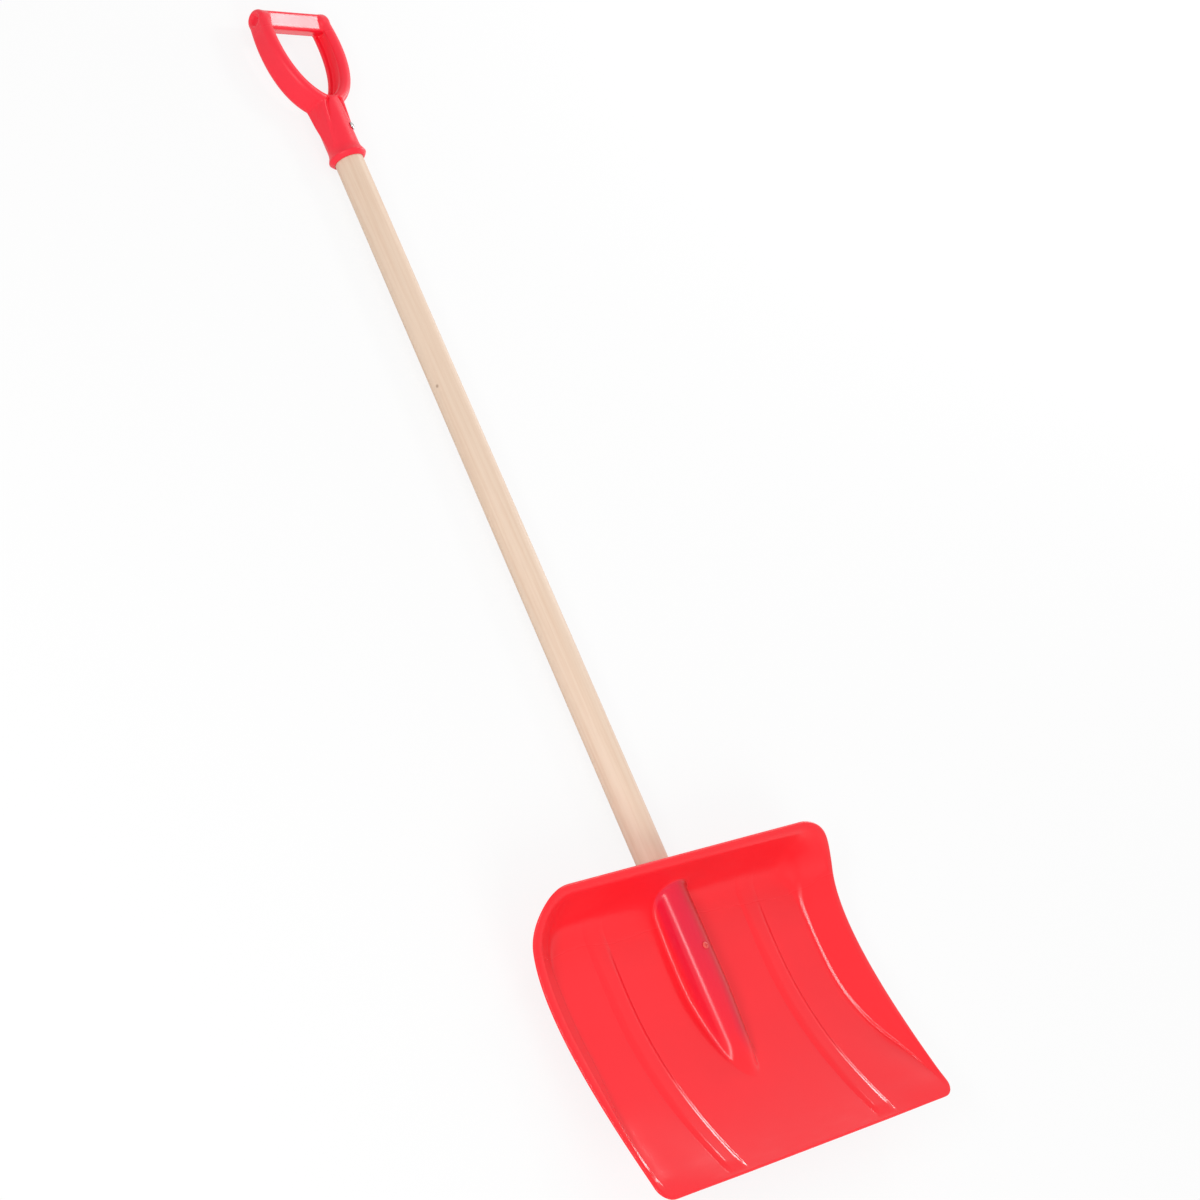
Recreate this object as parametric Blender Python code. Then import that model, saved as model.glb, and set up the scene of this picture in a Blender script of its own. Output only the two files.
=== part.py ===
"""Kids snow shovel: a moulded scoop blade, a turned wooden shaft and a moulded D-grip, held by two screws.

The shovel lies on its back. X is across the blade, Y runs up the shaft towards the grip and
Z points out of the scoop. The shaft's axis is parallel to Y. All sizes are in metres.
"""
import math

import bmesh
import bpy
import numpy as np
from mathutils import Matrix, Vector

# Lengths along the shaft
BLADE_HEIGHT = 0.226            # lip of the blade to its scraping edge
SHAFT_SHOWING = 0.5965          # lip of the blade to the foot of the grip's collar
GRIP_BAR_HEIGHT = 0.125         # foot of the collar to the middle of the crossbar
GRIP_ARM_END_DEPTH = 0.0178     # front to back at the crossbar, and across the arm's round end

# Fits
CLEARANCE = 0.0003              # between pieces that touch

# Shaft
SHAFT_DIAMETER_LOW = 0.0240     # at the blade
SHAFT_DIAMETER_TOP = 0.0226     # at the grip
SHAFT_IN_BLADE = 0.133          # below the lip
SHAFT_END_TAPER = 0.038         # length of the slimmer lower end
SHAFT_END_DIAMETER = 0.0196
SHAFT_END_CHAMFER = 0.003
TENON_DIAMETER = 0.0200         # turned down inside the grip
TENON_LENGTH = 0.038
SHAFT_IN_COLLAR = 0.009         # full shaft inside the collar

# Blade
BLADE_WIDTH = 0.3152            # below the top corners
EDGE_NARROWING = 0.0037         # how much narrower the blade is at the scraping edge
BLADE_WALL = 0.0024
LIP_FRONT = 0.039               # lip in front of the shaft's axis
EDGE_FRONT = 0.040              # scraping edge in front of the axis
RIM_UPPER_PULL = (0.030, 0.0365)    # down from the lip, front of the axis: bends the rim's upper end
RIM_LOWER_PULL = (0.017, -0.023)    # the same for its lower end
FLOOR_BEHIND = 0.0045           # deepest floor behind the axis
FLOOR_DEEPEST = 0.080           # how far below the lip that is
TOP_CORNER_RADIUS = 0.0365
EDGE_CORNER_RADIUS = 0.012
FLANGE_WIDTH = 0.0065           # flat rim round the lip and sides
TOP_WALL_REACH = 0.036          # lip to the foot of the top wall
FOOT_CORNER_RADIUS = 0.020      # where the feet of the top and side walls meet
SIDE_WALL_REACH = 0.028         # side edge to the foot of the side wall, at the top
SIDE_WALL_END = 0.195           # below the lip, where the side wall runs out
EDGE_BAND = 0.010               # least distance from the side edge to the floor
TOP_WALL_HOLLOW = 2.5           # power of the top wall's curve, 1 is straight
SIDE_WALL_ROUNDING = 0.14       # share of the side wall that is rounded at its top and at its foot
RIB_PLACE = 0.0790              # rib's middle from the shaft's axis
RIB_WIDTH = 0.0160
RIB_CROWN = 0.0070              # flat top of the rib
RIB_RISE = 0.0034
RIB_START = 0.008               # below the lip
RIB_FADE = 0.022                # length of the rib's soft upper end
RIB_STOP = 0.006                # short of the scraping edge

# Socket that swells out of the blade
SOCKET_WALL = 0.0032
SOCKET_MOUTH = 0.002            # below the lip
SOCKET_NOSE_LENGTH = 0.028

# Grip
GRIP_TURN = math.radians(5)     # round the shaft, against the blade
COLLAR_DIAMETER = 0.0310
COLLAR_LIP = 0.0014             # wall of the collar at its foot
COLLAR_FOOT = 0.0035            # slope from the shaft out to the collar's widest ring
COLLAR_HEIGHT = 0.0085          # flare above the widest ring
GRIP_SOCKET_DIAMETER = 0.0256
GRIP_SOCKET_TOP = 0.0565        # crown of the socket above the collar's foot
GRIP_ARM_DEPTH = 0.0235         # front to back at the root
GRIP_ARM_THICKNESS = 0.011      # at the crossbar
GRIP_ARM_ROOT_THICKNESS = 0.0095
GRIP_ARM_ROUNDING = 0.004
GRIP_ARM_ROOT = (0.002, 0.0495)         # from the axis, above the collar's foot
GRIP_ARM_LOWER_PULL = (0.0265, 0.0565)
GRIP_ARM_UPPER_PULL = (0.0385, 0.088)
GRIP_BAR_HALF = 0.0320          # axis to the middle of an arm, at the crossbar
CHANNEL_WIDTH = 0.012           # groove down the inside of each arm
CHANNEL_FLOOR = 0.0095
CHANNEL_DEPTH = 0.004
BAR_HEIGHT = 0.0125
BAR_DEPTH = 0.0145
BAR_ROUNDING = 0.0040
DIMPLE_DIAMETER = 0.0080        # sink mark on the outside of each arm, on the bar's line
DIMPLE_DEPTH = 0.0012

# Screws
GRIP_SCREW_HEIGHT = 0.0255      # above the collar's foot
GRIP_SCREW_TURN = math.radians(36)      # round the socket from its front, to the right
GRIP_SCREW_HEAD = 0.0064
BLADE_SCREW_DROP = 0.065        # below the lip
BLADE_SCREW_TURN = 0.0
BLADE_SCREW_HEAD = 0.0050
SCREW_HEAD_HEIGHT = 0.0016
SCREW_SHANK = 0.0030
SCREW_LENGTH = 0.0140           # under the head

# Facets
TURNED_SIDES = 32
SCREW_SIDES = 16
ARM_STEPS = 15
ARM_END_STEPS = 6
CORNER_STEPS = 10
SIDE_STEPS = 12
EDGE_CORNER_STEPS = 3
WALL_STEPS = (0.06, 0.14, 0.28, 0.5, 0.72, 0.86, 0.94, 1.0)

# Places that follow from the sizes above
GRIP_TOP = GRIP_BAR_HEIGHT + GRIP_ARM_END_DEPTH / 2
TOTAL_LENGTH = BLADE_HEIGHT + SHAFT_SHOWING + GRIP_TOP
EDGE_Y = -TOTAL_LENGTH / 2
LIP_Y = EDGE_Y + BLADE_HEIGHT
COLLAR_Y = LIP_Y + SHAFT_SHOWING
SHAFT_RADIUS = SHAFT_DIAMETER_LOW / 2
SHAFT_RADIUS_TOP = SHAFT_DIAMETER_TOP / 2
SOCKET_RADIUS = SHAFT_RADIUS + CLEARANCE + SOCKET_WALL
AXIS_Z = max(SOCKET_RADIUS, COLLAR_DIAMETER / 2)
SHAFT_END_RADIUS = SHAFT_END_DIAMETER / 2
SHOULDER_Y = COLLAR_Y + SHAFT_IN_COLLAR
GRIP_FRAME = Matrix.Translation((0, COLLAR_Y, AXIS_Z)) @ Matrix.Rotation(GRIP_TURN, 4, "Y")


def clear_scene():
    """Remove whatever the file held."""
    for old in list(bpy.data.objects):
        bpy.data.objects.remove(old, do_unlink=True)


def finish_material(name, colour, roughness, metallic=0.0):
    """A plain Principled BSDF."""
    mat = bpy.data.materials.new(name)
    mat.use_nodes = True
    shader = mat.node_tree.nodes["Principled BSDF"]
    shader.inputs["Base Color"].default_value = (*colour, 1.0)
    shader.inputs["Roughness"].default_value = roughness
    shader.inputs["Metallic"].default_value = metallic
    mat.diffuse_color = (*colour, 1.0)
    return mat


def make_object(name, bm, mat=None):
    """Turn a bmesh into an object with its faces pointing out."""
    bmesh.ops.recalc_face_normals(bm, faces=bm.faces[:])
    mesh = bpy.data.meshes.new(name)
    bm.to_mesh(mesh)
    bm.free()
    mesh.shade_smooth()
    mesh.set_sharp_from_angle(angle=math.radians(35))
    obj = bpy.data.objects.new(name, mesh)
    bpy.context.scene.collection.objects.link(obj)
    if mat:
        mesh.materials.append(mat)
    return obj


def combine(obj, tool, operation):
    """Join or cut obj with a tool object, which stays as a hidden guide."""
    tool.hide_render = True
    tool.display_type = "WIRE"
    step = obj.modifiers.new(tool.name, "BOOLEAN")
    step.operation = operation
    step.solver = "EXACT"
    step.object = tool


def turned(profile, sides):
    """Solid of revolution round Y from (radius, y) points that start and end on the axis."""
    bm = bmesh.new()
    verts = [bm.verts.new((radius, y, 0.0)) for radius, y in profile]
    edges = [bm.edges.new(pair) for pair in zip(verts, verts[1:])]
    bmesh.ops.spin(bm, geom=verts + edges, cent=(0, 0, 0), axis=(0, 1, 0),
                   angle=math.tau, steps=sides, use_merge=True)
    bmesh.ops.remove_doubles(bm, verts=bm.verts[:], dist=1e-6)
    return bm


def bezier(points, t):
    """Cubic curve through the first and last of four points."""
    a, b, c, d = (np.array(p) for p in points)
    t = np.asarray(t, float)[:, None]
    return (1 - t)**3 * a + 3 * (1 - t)**2 * t * b + 3 * (1 - t) * t**2 * c + t**3 * d


def rim_front(drop):
    """Height of the blade's rim in front of the axis, at a drop below the lip."""
    curve = bezier([(0.0, LIP_FRONT), RIM_UPPER_PULL, RIM_LOWER_PULL, (BLADE_HEIGHT, EDGE_FRONT)],
                   np.linspace(0, 1, 200))
    return float(np.interp(drop, curve[:, 0], curve[:, 1]))


def floor_front(drop):
    """Height of the blade's floor in front of the axis, two parabolas that meet at the deepest line."""
    if drop < FLOOR_DEEPEST:
        rise, span = FLOOR_BEHIND, FLOOR_DEEPEST
    else:
        rise, span = EDGE_FRONT + FLOOR_BEHIND, BLADE_HEIGHT - FLOOR_DEEPEST
    return rise * ((drop - FLOOR_DEEPEST) / span)**2 - FLOOR_BEHIND


def rib_front(x, drop):
    """Extra height of the two stiffening ribs."""
    off_middle = abs(abs(x) - RIB_PLACE)
    flank = np.clip((RIB_WIDTH / 2 - off_middle) / ((RIB_WIDTH - RIB_CROWN) / 2), 0, 1)
    upper = np.clip((drop - RIB_START) / RIB_FADE, 0, 1)
    lower = np.clip((BLADE_HEIGHT - RIB_STOP - drop) / RIB_WIDTH, 0, 1)
    return RIB_RISE * min(upper * upper * (3 - 2 * upper), lower) * flank


def half_width(drop):
    """Half of the blade's width at a drop below the lip, with the corners of the scraping edge rounded."""
    share = max(0.0, (drop - TOP_CORNER_RADIUS) / (BLADE_HEIGHT - TOP_CORNER_RADIUS))
    half = (BLADE_WIDTH - EDGE_NARROWING * share) / 2
    past = max(0.0, drop - (BLADE_HEIGHT - EDGE_CORNER_RADIUS))
    return half - EDGE_CORNER_RADIUS + math.sqrt(max(0.0, EDGE_CORNER_RADIUS**2 - past**2))


def side_reach(drop):
    """Distance from the side edge to the foot of the side wall."""
    share = min(1.0, drop / SIDE_WALL_END)
    return max(EDGE_BAND, SIDE_WALL_REACH * (1 - share**3))


def wall_share(along, sideways):
    """Share of the fall from rim to floor done along a wall, from the top wall (0) to a side wall (1)."""
    hollow = 1 - (1 - along)**TOP_WALL_HOLLOW
    soft = SIDE_WALL_ROUNDING
    if along < soft:
        ramp = along**2 / (2 * soft * (1 - soft))
    elif along < 1 - soft:
        ramp = (along - soft / 2) / (1 - soft)
    else:
        ramp = 1 - (1 - along)**2 / (2 * soft * (1 - soft))
    return hollow + (ramp - hollow) * sideways


def rings(edge, inward, foot, sideways):
    """(x, drop, share of the fall) points from an edge point over the flange to the foot of its wall."""
    edge, inward, foot = np.array(edge), np.array(inward), np.array(foot)
    flange = min(FLANGE_WIDTH, np.linalg.norm(foot - edge) / 3)
    row = [(*(edge + inward * flange * k), 0.0) for k in (0.0, 0.5, 1.0)]
    brink = edge + inward * flange
    return row + [(*(brink + (foot - brink) * k), wall_share(k, sideways)) for k in WALL_STEPS]


def top_row(x):
    """Ring points of the top wall."""
    return rings((x, 0.0), (0.0, 1.0), (x, TOP_WALL_REACH), 0.0)


def side_row(drop):
    """Ring points of the right side wall."""
    half = half_width(drop)
    return rings((half, drop), (-1.0, 0.0), (half - side_reach(drop), drop), 1.0)


def corner_rows(top_half):
    """Ring points round the right top corner, from the last top row to the first full side row."""
    straight = BLADE_WIDTH / 2 - TOP_CORNER_RADIUS - top_half
    arc = TOP_CORNER_RADIUS * math.pi / 2
    length = straight + arc + TOP_WALL_REACH + FOOT_CORNER_RADIUS - TOP_CORNER_RADIUS
    rows = []
    for k in np.linspace(0, 1, CORNER_STEPS + 1)[1:]:
        turn = np.clip((k * length - straight) / TOP_CORNER_RADIUS, 0, math.pi / 2)
        before = min(0.0, k * length - straight)
        past = max(0.0, k * length - straight - arc)
        edge = (BLADE_WIDTH / 2 - TOP_CORNER_RADIUS * (1 - math.sin(turn)) + before,
                TOP_CORNER_RADIUS * (1 - math.cos(turn)) + past)
        foot_turn = k * math.pi / 2
        foot = (top_half + FOOT_CORNER_RADIUS * math.sin(foot_turn),
                TOP_WALL_REACH + FOOT_CORNER_RADIUS * (1 - math.cos(foot_turn)))
        rows.append(rings(edge, (-math.sin(turn), math.cos(turn)), foot, math.sin(foot_turn)**2))
    return rows


def floor_columns(top_half):
    """Places across the floor: the ends, the ribs' feet and crowns, and steps between them."""
    crown, foot = RIB_CROWN / 2, RIB_WIDTH / 2
    rib = [RIB_PLACE + k for k in (foot, crown, -crown, -foot)]
    right = [top_half, (top_half + rib[0]) / 2] + rib + [rib[-1] * k for k in (0.75, 0.5, 0.25)]
    return [-x for x in right] + [0.0] + right[::-1]


def blade_sheet():
    """The blade's sheet, with flange, walls, floor and ribs, as one closed shell."""
    corner_end = TOP_WALL_REACH + FOOT_CORNER_RADIUS
    top_half = half_width(corner_end) - side_reach(corner_end) - FOOT_CORNER_RADIUS
    columns = floor_columns(top_half)
    straight = np.linspace(corner_end, BLADE_HEIGHT - EDGE_CORNER_RADIUS, SIDE_STEPS + 1)[1:]
    edge_turns = np.linspace(0, math.pi / 2, EDGE_CORNER_STEPS + 1)[1:]
    rows = corner_rows(top_half) + [side_row(drop) for drop in straight]
    rows += [side_row(BLADE_HEIGHT - EDGE_CORNER_RADIUS * (1 - math.sin(turn))) for turn in edge_turns]
    bm = bmesh.new()

    def vertex(x, drop, share):
        rim, floor = rim_front(drop), floor_front(drop)
        front = rim + (floor + rib_front(x, drop) - rim) * share
        return bm.verts.new((x, LIP_Y - drop, AXIS_Z + front))

    def bridge(upper, lower):
        for a, b, c, d in zip(upper, upper[1:], lower[1:], lower):
            bm.faces.new((a, b, c, d))

    # Top wall: one line of ring points above each floor column
    top = [[vertex(*point) for point in top_row(x)] for x in columns]
    for left, right in zip(top, top[1:]):
        bridge(left, right)

    # Side walls and floor, row by row
    above = top[0], top[-1], [line[-1] for line in top]
    for row in rows:
        left = [vertex(-x, drop, share) for x, drop, share in row]
        right = [vertex(x, drop, share) for x, drop, share in row]
        foot_drop = row[-1][1]
        floor = [left[-1]] + [vertex(x, foot_drop, 1.0) for x in columns[1:-1]] + [right[-1]]
        for upper, lower in zip(above, (left, right, floor)):
            bridge(upper, lower)
        above = left, right, floor

    return thickened(bm, BLADE_WALL)


def thickened(bm, wall):
    """Close an open sheet into a shell with an even wall behind it, its edges cut straight back."""
    bmesh.ops.recalc_face_normals(bm, faces=bm.faces[:])
    if sum(face.normal.z for face in bm.faces) < 0:
        bmesh.ops.reverse_faces(bm, faces=bm.faces[:])
    bm.normal_update()
    front = bm.verts[:]
    rim = [edge for edge in bm.edges if edge.is_boundary]
    inwards = {v: v.normal * v.calc_shell_factor() for v in front}
    inwards.update({v: Vector((0, 0, 1)) for edge in rim for v in edge.verts})
    back = {v: bm.verts.new(v.co - inwards[v] * wall) for v in front}
    for face in bm.faces[:]:
        bm.faces.new([back[v] for v in reversed(face.verts)])
    for edge in rim:
        a, b = edge.verts
        bm.faces.new((a, b, back[b], back[a]))
    return bm


def on_axis(bm):
    """Lift a turned form from the world's Y axis to the shaft's axis."""
    bmesh.ops.translate(bm, verts=bm.verts[:], vec=(0, 0, AXIS_Z))
    return bm


def shaft_profile(grow=0.0):
    """Outline of the shaft, grown by a clearance for the holes that it sits in."""
    tip = LIP_Y - SHAFT_IN_BLADE
    slim = SHAFT_END_RADIUS + grow
    low = SHAFT_RADIUS + grow
    top = SHAFT_RADIUS_TOP + grow
    tenon = TENON_DIAMETER / 2 + grow
    end = SHOULDER_Y + TENON_LENGTH + grow
    nose = [(0, tip - grow), (slim - SHAFT_END_CHAMFER, tip - grow), (slim, tip - grow + SHAFT_END_CHAMFER)]
    lower = nose + [(low, tip + SHAFT_END_TAPER), (low, LIP_Y)]
    upper = [(top, COLLAR_Y), (top, SHOULDER_Y + grow), (tenon, SHOULDER_Y + grow), (tenon, end), (0, end)]
    return lower + upper


def socket_profile():
    """Outline of the blade's socket, which follows the shaft and ends in a rounded nose."""
    mouth = LIP_Y - SOCKET_MOUTH
    tip = LIP_Y - SHAFT_IN_BLADE
    slim = SHAFT_END_RADIUS + CLEARANCE + SOCKET_WALL
    nose = [(slim * math.cos(a), tip - SOCKET_NOSE_LENGTH * math.sin(a))
            for a in np.linspace(0, math.pi / 2, 8)[:-1]]
    tube = [(0, mouth), (SOCKET_RADIUS, mouth), (SOCKET_RADIUS, tip + SHAFT_END_TAPER)]
    return tube + nose + [(0, tip - SOCKET_NOSE_LENGTH)]


def screw_frame(y, seat_radius, turn):
    """Placement of a screw: its own Y axis points out of the surface."""
    outward = Vector((math.sin(turn), 0, math.cos(turn)))
    place = Vector((0, y, AXIS_Z)) + outward * seat_radius
    turn_in = outward.to_track_quat("Y", "Z").to_matrix().to_4x4()
    return Matrix.Translation(place) @ turn_in


def screw_profile(head):
    """Pan head on a straight shank, seated a clearance above zero."""
    shank, radius = SCREW_SHANK / 2, head / 2
    crown = [(radius * math.cos(a), SCREW_HEAD_HEIGHT * (0.4 + 0.6 * math.sin(a)))
             for a in np.linspace(0, math.pi / 2, 5)[:-1]]
    foot = [(0, -SCREW_LENGTH), (shank, -SCREW_LENGTH), (shank, CLEARANCE), (radius, CLEARANCE)]
    return foot + crown + [(0, SCREW_HEAD_HEIGHT)]


def screw_hole_profile():
    """Straight hole that a screw's shank sits in."""
    radius = SCREW_SHANK / 2 + CLEARANCE
    return [(0, -SCREW_LENGTH - CLEARANCE), (radius, -SCREW_LENGTH - CLEARANCE),
            (radius, SCREW_LENGTH), (0, SCREW_LENGTH)]


def placed_turned(name, profile, sides, frame, mat=None):
    """A turned form moved into a screw's frame."""
    bm = turned(profile, sides)
    bmesh.ops.transform(bm, matrix=frame, verts=bm.verts[:])
    return make_object(name, bm, mat)


def rounded_section(width, depth, rounding, steps=3):
    """Closed outline of a rounded bar, as (width, depth) points."""
    points = []
    for quarter, (sx, sz) in enumerate(((1, 1), (-1, 1), (-1, -1), (1, -1))):
        centre = np.array((sx * (width / 2 - rounding), sz * (depth / 2 - rounding)))
        for turn in np.linspace(0, math.pi / 2, steps + 1) + quarter * math.pi / 2:
            points.append(centre + rounding * np.array((math.cos(turn), math.sin(turn))))
    return points


def arm_section():
    """Outline of a grip arm: rounded outside, with a groove down its inner face."""
    outline = rounded_section(GRIP_ARM_THICKNESS, GRIP_ARM_DEPTH, GRIP_ARM_ROUNDING)
    inner = -GRIP_ARM_THICKNESS / 2
    mouth, bottom = CHANNEL_WIDTH / 2, CHANNEL_FLOOR / 2
    groove = [np.array((inner, mouth)), np.array((inner + CHANNEL_DEPTH, bottom)),
              np.array((inner + CHANNEL_DEPTH, -bottom)), np.array((inner, -mouth))]
    after_second_corner = len(outline) // 2
    return outline[:after_second_corner] + groove + outline[after_second_corner:]


def swept(stations, section):
    """Loft a section through (place, side, depth) frames, whose lengths scale it, and cap both ends."""
    bm = bmesh.new()
    loops = []
    for place, side, depth in stations:
        loops.append([bm.verts.new(place + side * a + depth * b) for a, b in section])
    for lower, upper in zip(loops, loops[1:]):
        for k in range(len(section)):
            j = (k + 1) % len(section)
            bm.faces.new((lower[k], lower[j], upper[j], upper[k]))
    bm.faces.new(loops[0])
    bm.faces.new(loops[-1])
    return bm


def arm_path():
    """Middle line of the right grip arm: places and the directions that point outwards."""
    curve = [GRIP_ARM_ROOT, GRIP_ARM_LOWER_PULL, GRIP_ARM_UPPER_PULL, (GRIP_BAR_HALF, GRIP_BAR_HEIGHT)]
    points = bezier(curve, np.linspace(0, 1, ARM_STEPS))
    ways = np.gradient(points, axis=0)
    ways /= np.linalg.norm(ways, axis=1)[:, None]
    return points, ways


def grip_arm(side):
    """One arm with its rounded upper end, in the grip's frame, right for side 1 and left for side -1."""
    points, ways = arm_path()
    root = GRIP_ARM_ROOT_THICKNESS / GRIP_ARM_THICKNESS
    end = GRIP_ARM_END_DEPTH / GRIP_ARM_DEPTH
    along = np.linspace(0, 1, len(points))
    frames = list(zip(points, ways, root + (1 - root) * along, 1 + (end - 1) * along**2))
    for turn in np.linspace(0, math.pi / 2, ARM_END_STEPS + 1)[1:-1]:
        past = points[-1] + ways[-1] * GRIP_ARM_END_DEPTH / 2 * math.sin(turn)
        frames.append((past, ways[-1], 1.0, end * math.cos(turn)))
    stations = []
    for (x, up), (way_x, way_up), thick, deep in frames:
        outward = Vector((side * way_up, -way_x, 0))
        stations.append((Vector((side * x, up, 0)), outward * thick, Vector((0, 0, deep))))
    return swept(stations, arm_section())


def crossbar():
    """The bar between the arms, in the grip's frame."""
    up, front = Vector((0, 1, 0)), Vector((0, 0, 1))
    ends = [(Vector((x, GRIP_BAR_HEIGHT, 0)), up, front) for x in (-GRIP_BAR_HALF, GRIP_BAR_HALF)]
    return swept(ends, rounded_section(BAR_HEIGHT, BAR_DEPTH, BAR_ROUNDING))


def arm_end_frame(side):
    """Frame at an arm's upper end: its Y axis points out of the arm's flat side."""
    points, ways = arm_path()
    outward = Vector((side * ways[-1][1], -ways[-1][0], 0))
    place = Vector((side * points[-1][0], points[-1][1], 0))
    return GRIP_FRAME @ Matrix.Translation(place) @ outward.to_track_quat("Y", "Z").to_matrix().to_4x4()


def drum(radius, low, high):
    """Outline of a plain disc or hole for turning."""
    return [(0, low), (radius, low), (radius, high), (0, high)]


def grip_socket_profile():
    """Outline of the grip's socket: flared collar, tube and crown."""
    radius = GRIP_SOCKET_DIAMETER / 2
    widest = COLLAR_Y + COLLAR_FOOT
    flare = [(radius + (COLLAR_DIAMETER / 2 - radius) * (1 - k)**2, widest + COLLAR_HEIGHT * k)
             for k in np.linspace(0, 1, 6)]
    crown_start = GRIP_SOCKET_TOP - radius / 2
    crown = [(radius * math.cos(a), COLLAR_Y + crown_start + radius / 2 * math.sin(a))
             for a in np.linspace(0, math.pi / 2, 5)[:-1]]
    foot = [(0, COLLAR_Y), (SHAFT_RADIUS_TOP + COLLAR_LIP, COLLAR_Y)]
    return foot + flare + crown + [(0, COLLAR_Y + GRIP_SOCKET_TOP)]


def build_shaft(mat):
    """The wooden shaft with its tenon."""
    return make_object("shaft", on_axis(turned(shaft_profile(), TURNED_SIDES)), mat)


def bore(name):
    """Room for the shaft, with its clearance."""
    return make_object(name, on_axis(turned(shaft_profile(CLEARANCE), TURNED_SIDES)))


def build_blade(mat):
    """The scoop blade with its socket bored for the shaft."""
    blade = make_object("blade", blade_sheet(), mat)
    combine(blade, make_object("socket_form", on_axis(turned(socket_profile(), TURNED_SIDES))), "UNION")
    combine(blade, bore("blade_bore"), "DIFFERENCE")
    return blade


def build_grip(mat):
    """The D-grip: collar, socket, two arms and a crossbar in one moulding."""
    grip = make_object("d_handle", on_axis(turned(grip_socket_profile(), TURNED_SIDES)), mat)
    forms = {"arm_left_form": grip_arm(-1), "arm_right_form": grip_arm(1), "crossbar_form": crossbar()}
    for name, form in forms.items():
        bmesh.ops.transform(form, matrix=GRIP_FRAME, verts=form.verts[:])
        combine(grip, make_object(name, form), "UNION")
    flat = GRIP_ARM_THICKNESS / 2
    for side, word in ((-1, "left"), (1, "right")):
        sink = drum(DIMPLE_DIAMETER / 2, flat - DIMPLE_DEPTH, GRIP_ARM_THICKNESS)
        dimple = placed_turned(f"dimple_{word}", sink, SCREW_SIDES, arm_end_frame(side))
        combine(grip, dimple, "DIFFERENCE")
    combine(grip, bore("grip_bore"), "DIFFERENCE")
    return grip


def build_screw(name, y, seat_radius, turn, head, held, mat):
    """A screw through the pieces that it holds."""
    frame = screw_frame(y, seat_radius, turn)
    for piece in held:
        hole = placed_turned(f"{name}_hole_{piece.name}", screw_hole_profile(), SCREW_SIDES, frame)
        combine(piece, hole, "DIFFERENCE")
    return placed_turned(name, screw_profile(head), SCREW_SIDES, frame, mat)


def main():
    """Build every piece."""
    clear_scene()
    red = finish_material("red plastic", (0.80, 0.020, 0.035), 0.22)
    grip_red = finish_material("red grip plastic", (0.76, 0.022, 0.035), 0.28)
    wood = finish_material("pale wood", (0.72, 0.56, 0.40), 0.60)
    steel = finish_material("zinc steel", (0.55, 0.56, 0.58), 0.35, 1.0)
    shaft = build_shaft(wood)
    blade = build_blade(red)
    grip = build_grip(grip_red)
    build_screw("blade_screw", LIP_Y - BLADE_SCREW_DROP, SOCKET_RADIUS, BLADE_SCREW_TURN,
                BLADE_SCREW_HEAD, (blade, shaft), steel)
    build_screw("handle_screw", COLLAR_Y + GRIP_SCREW_HEIGHT, GRIP_SOCKET_DIAMETER / 2, GRIP_SCREW_TURN,
                GRIP_SCREW_HEAD, (grip, shaft), steel)


main()
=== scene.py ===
from math import atan, cos, pi, radians, sin, sqrt, tan

import bmesh
import bpy
import numpy as np
from bpy.props import FloatProperty, FloatVectorProperty, IntProperty, PointerProperty
from mathutils import Matrix, Vector


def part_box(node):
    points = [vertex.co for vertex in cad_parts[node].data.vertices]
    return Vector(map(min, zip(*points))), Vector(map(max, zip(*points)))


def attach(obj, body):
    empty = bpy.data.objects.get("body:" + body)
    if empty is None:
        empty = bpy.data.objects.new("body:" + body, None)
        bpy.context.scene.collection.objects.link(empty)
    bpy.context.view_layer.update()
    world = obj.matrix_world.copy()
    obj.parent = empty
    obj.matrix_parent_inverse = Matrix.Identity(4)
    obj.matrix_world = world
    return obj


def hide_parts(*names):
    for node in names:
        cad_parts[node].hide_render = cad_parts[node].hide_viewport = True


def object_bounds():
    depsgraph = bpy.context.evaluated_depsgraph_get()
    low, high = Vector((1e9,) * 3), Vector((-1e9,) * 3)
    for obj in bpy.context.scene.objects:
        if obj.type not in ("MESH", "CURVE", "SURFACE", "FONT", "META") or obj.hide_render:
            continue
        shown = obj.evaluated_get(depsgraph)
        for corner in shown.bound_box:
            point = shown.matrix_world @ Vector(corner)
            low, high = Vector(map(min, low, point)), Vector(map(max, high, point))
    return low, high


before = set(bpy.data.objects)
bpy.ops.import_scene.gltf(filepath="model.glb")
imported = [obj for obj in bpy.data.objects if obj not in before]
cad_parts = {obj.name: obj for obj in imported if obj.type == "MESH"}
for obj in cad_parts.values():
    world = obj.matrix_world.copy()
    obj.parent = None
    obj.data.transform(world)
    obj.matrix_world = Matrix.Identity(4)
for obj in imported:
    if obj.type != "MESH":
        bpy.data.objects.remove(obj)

bl_info = {
    "name": "Kids snow shovel",
    "version": (1, 0, 0),
    "blender": (4, 5, 0),
    "location": "3D View > Sidebar > Shovel",
    "description": "Builds a moulded snow shovel with a wooden shaft around its packed solids",
    "category": "Add Mesh",
}

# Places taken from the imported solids
CAD_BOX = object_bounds()
BLADE_LOW, BLADE_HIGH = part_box("blade")
SHAFT_LOW, SHAFT_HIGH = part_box("shaft")
AXIS_Z = (SHAFT_LOW.z + SHAFT_HIGH.z) / 2
LIP_Y = BLADE_HIGH.y
TIP_Y = SHAFT_LOW.y
COLLAR_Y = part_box("d_handle")[0].y
BODY = "root"


def mm(name, default, description):
    """A size given in millimetres and kept in metres."""
    return FloatProperty(name=name, description=description, default=default / 1000,
                         precision=5, unit="LENGTH")


def angle(name, degrees, description):
    """A turn, kept in radians."""
    return FloatProperty(name=name, description=description, default=radians(degrees), subtype="ANGLE")


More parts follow.
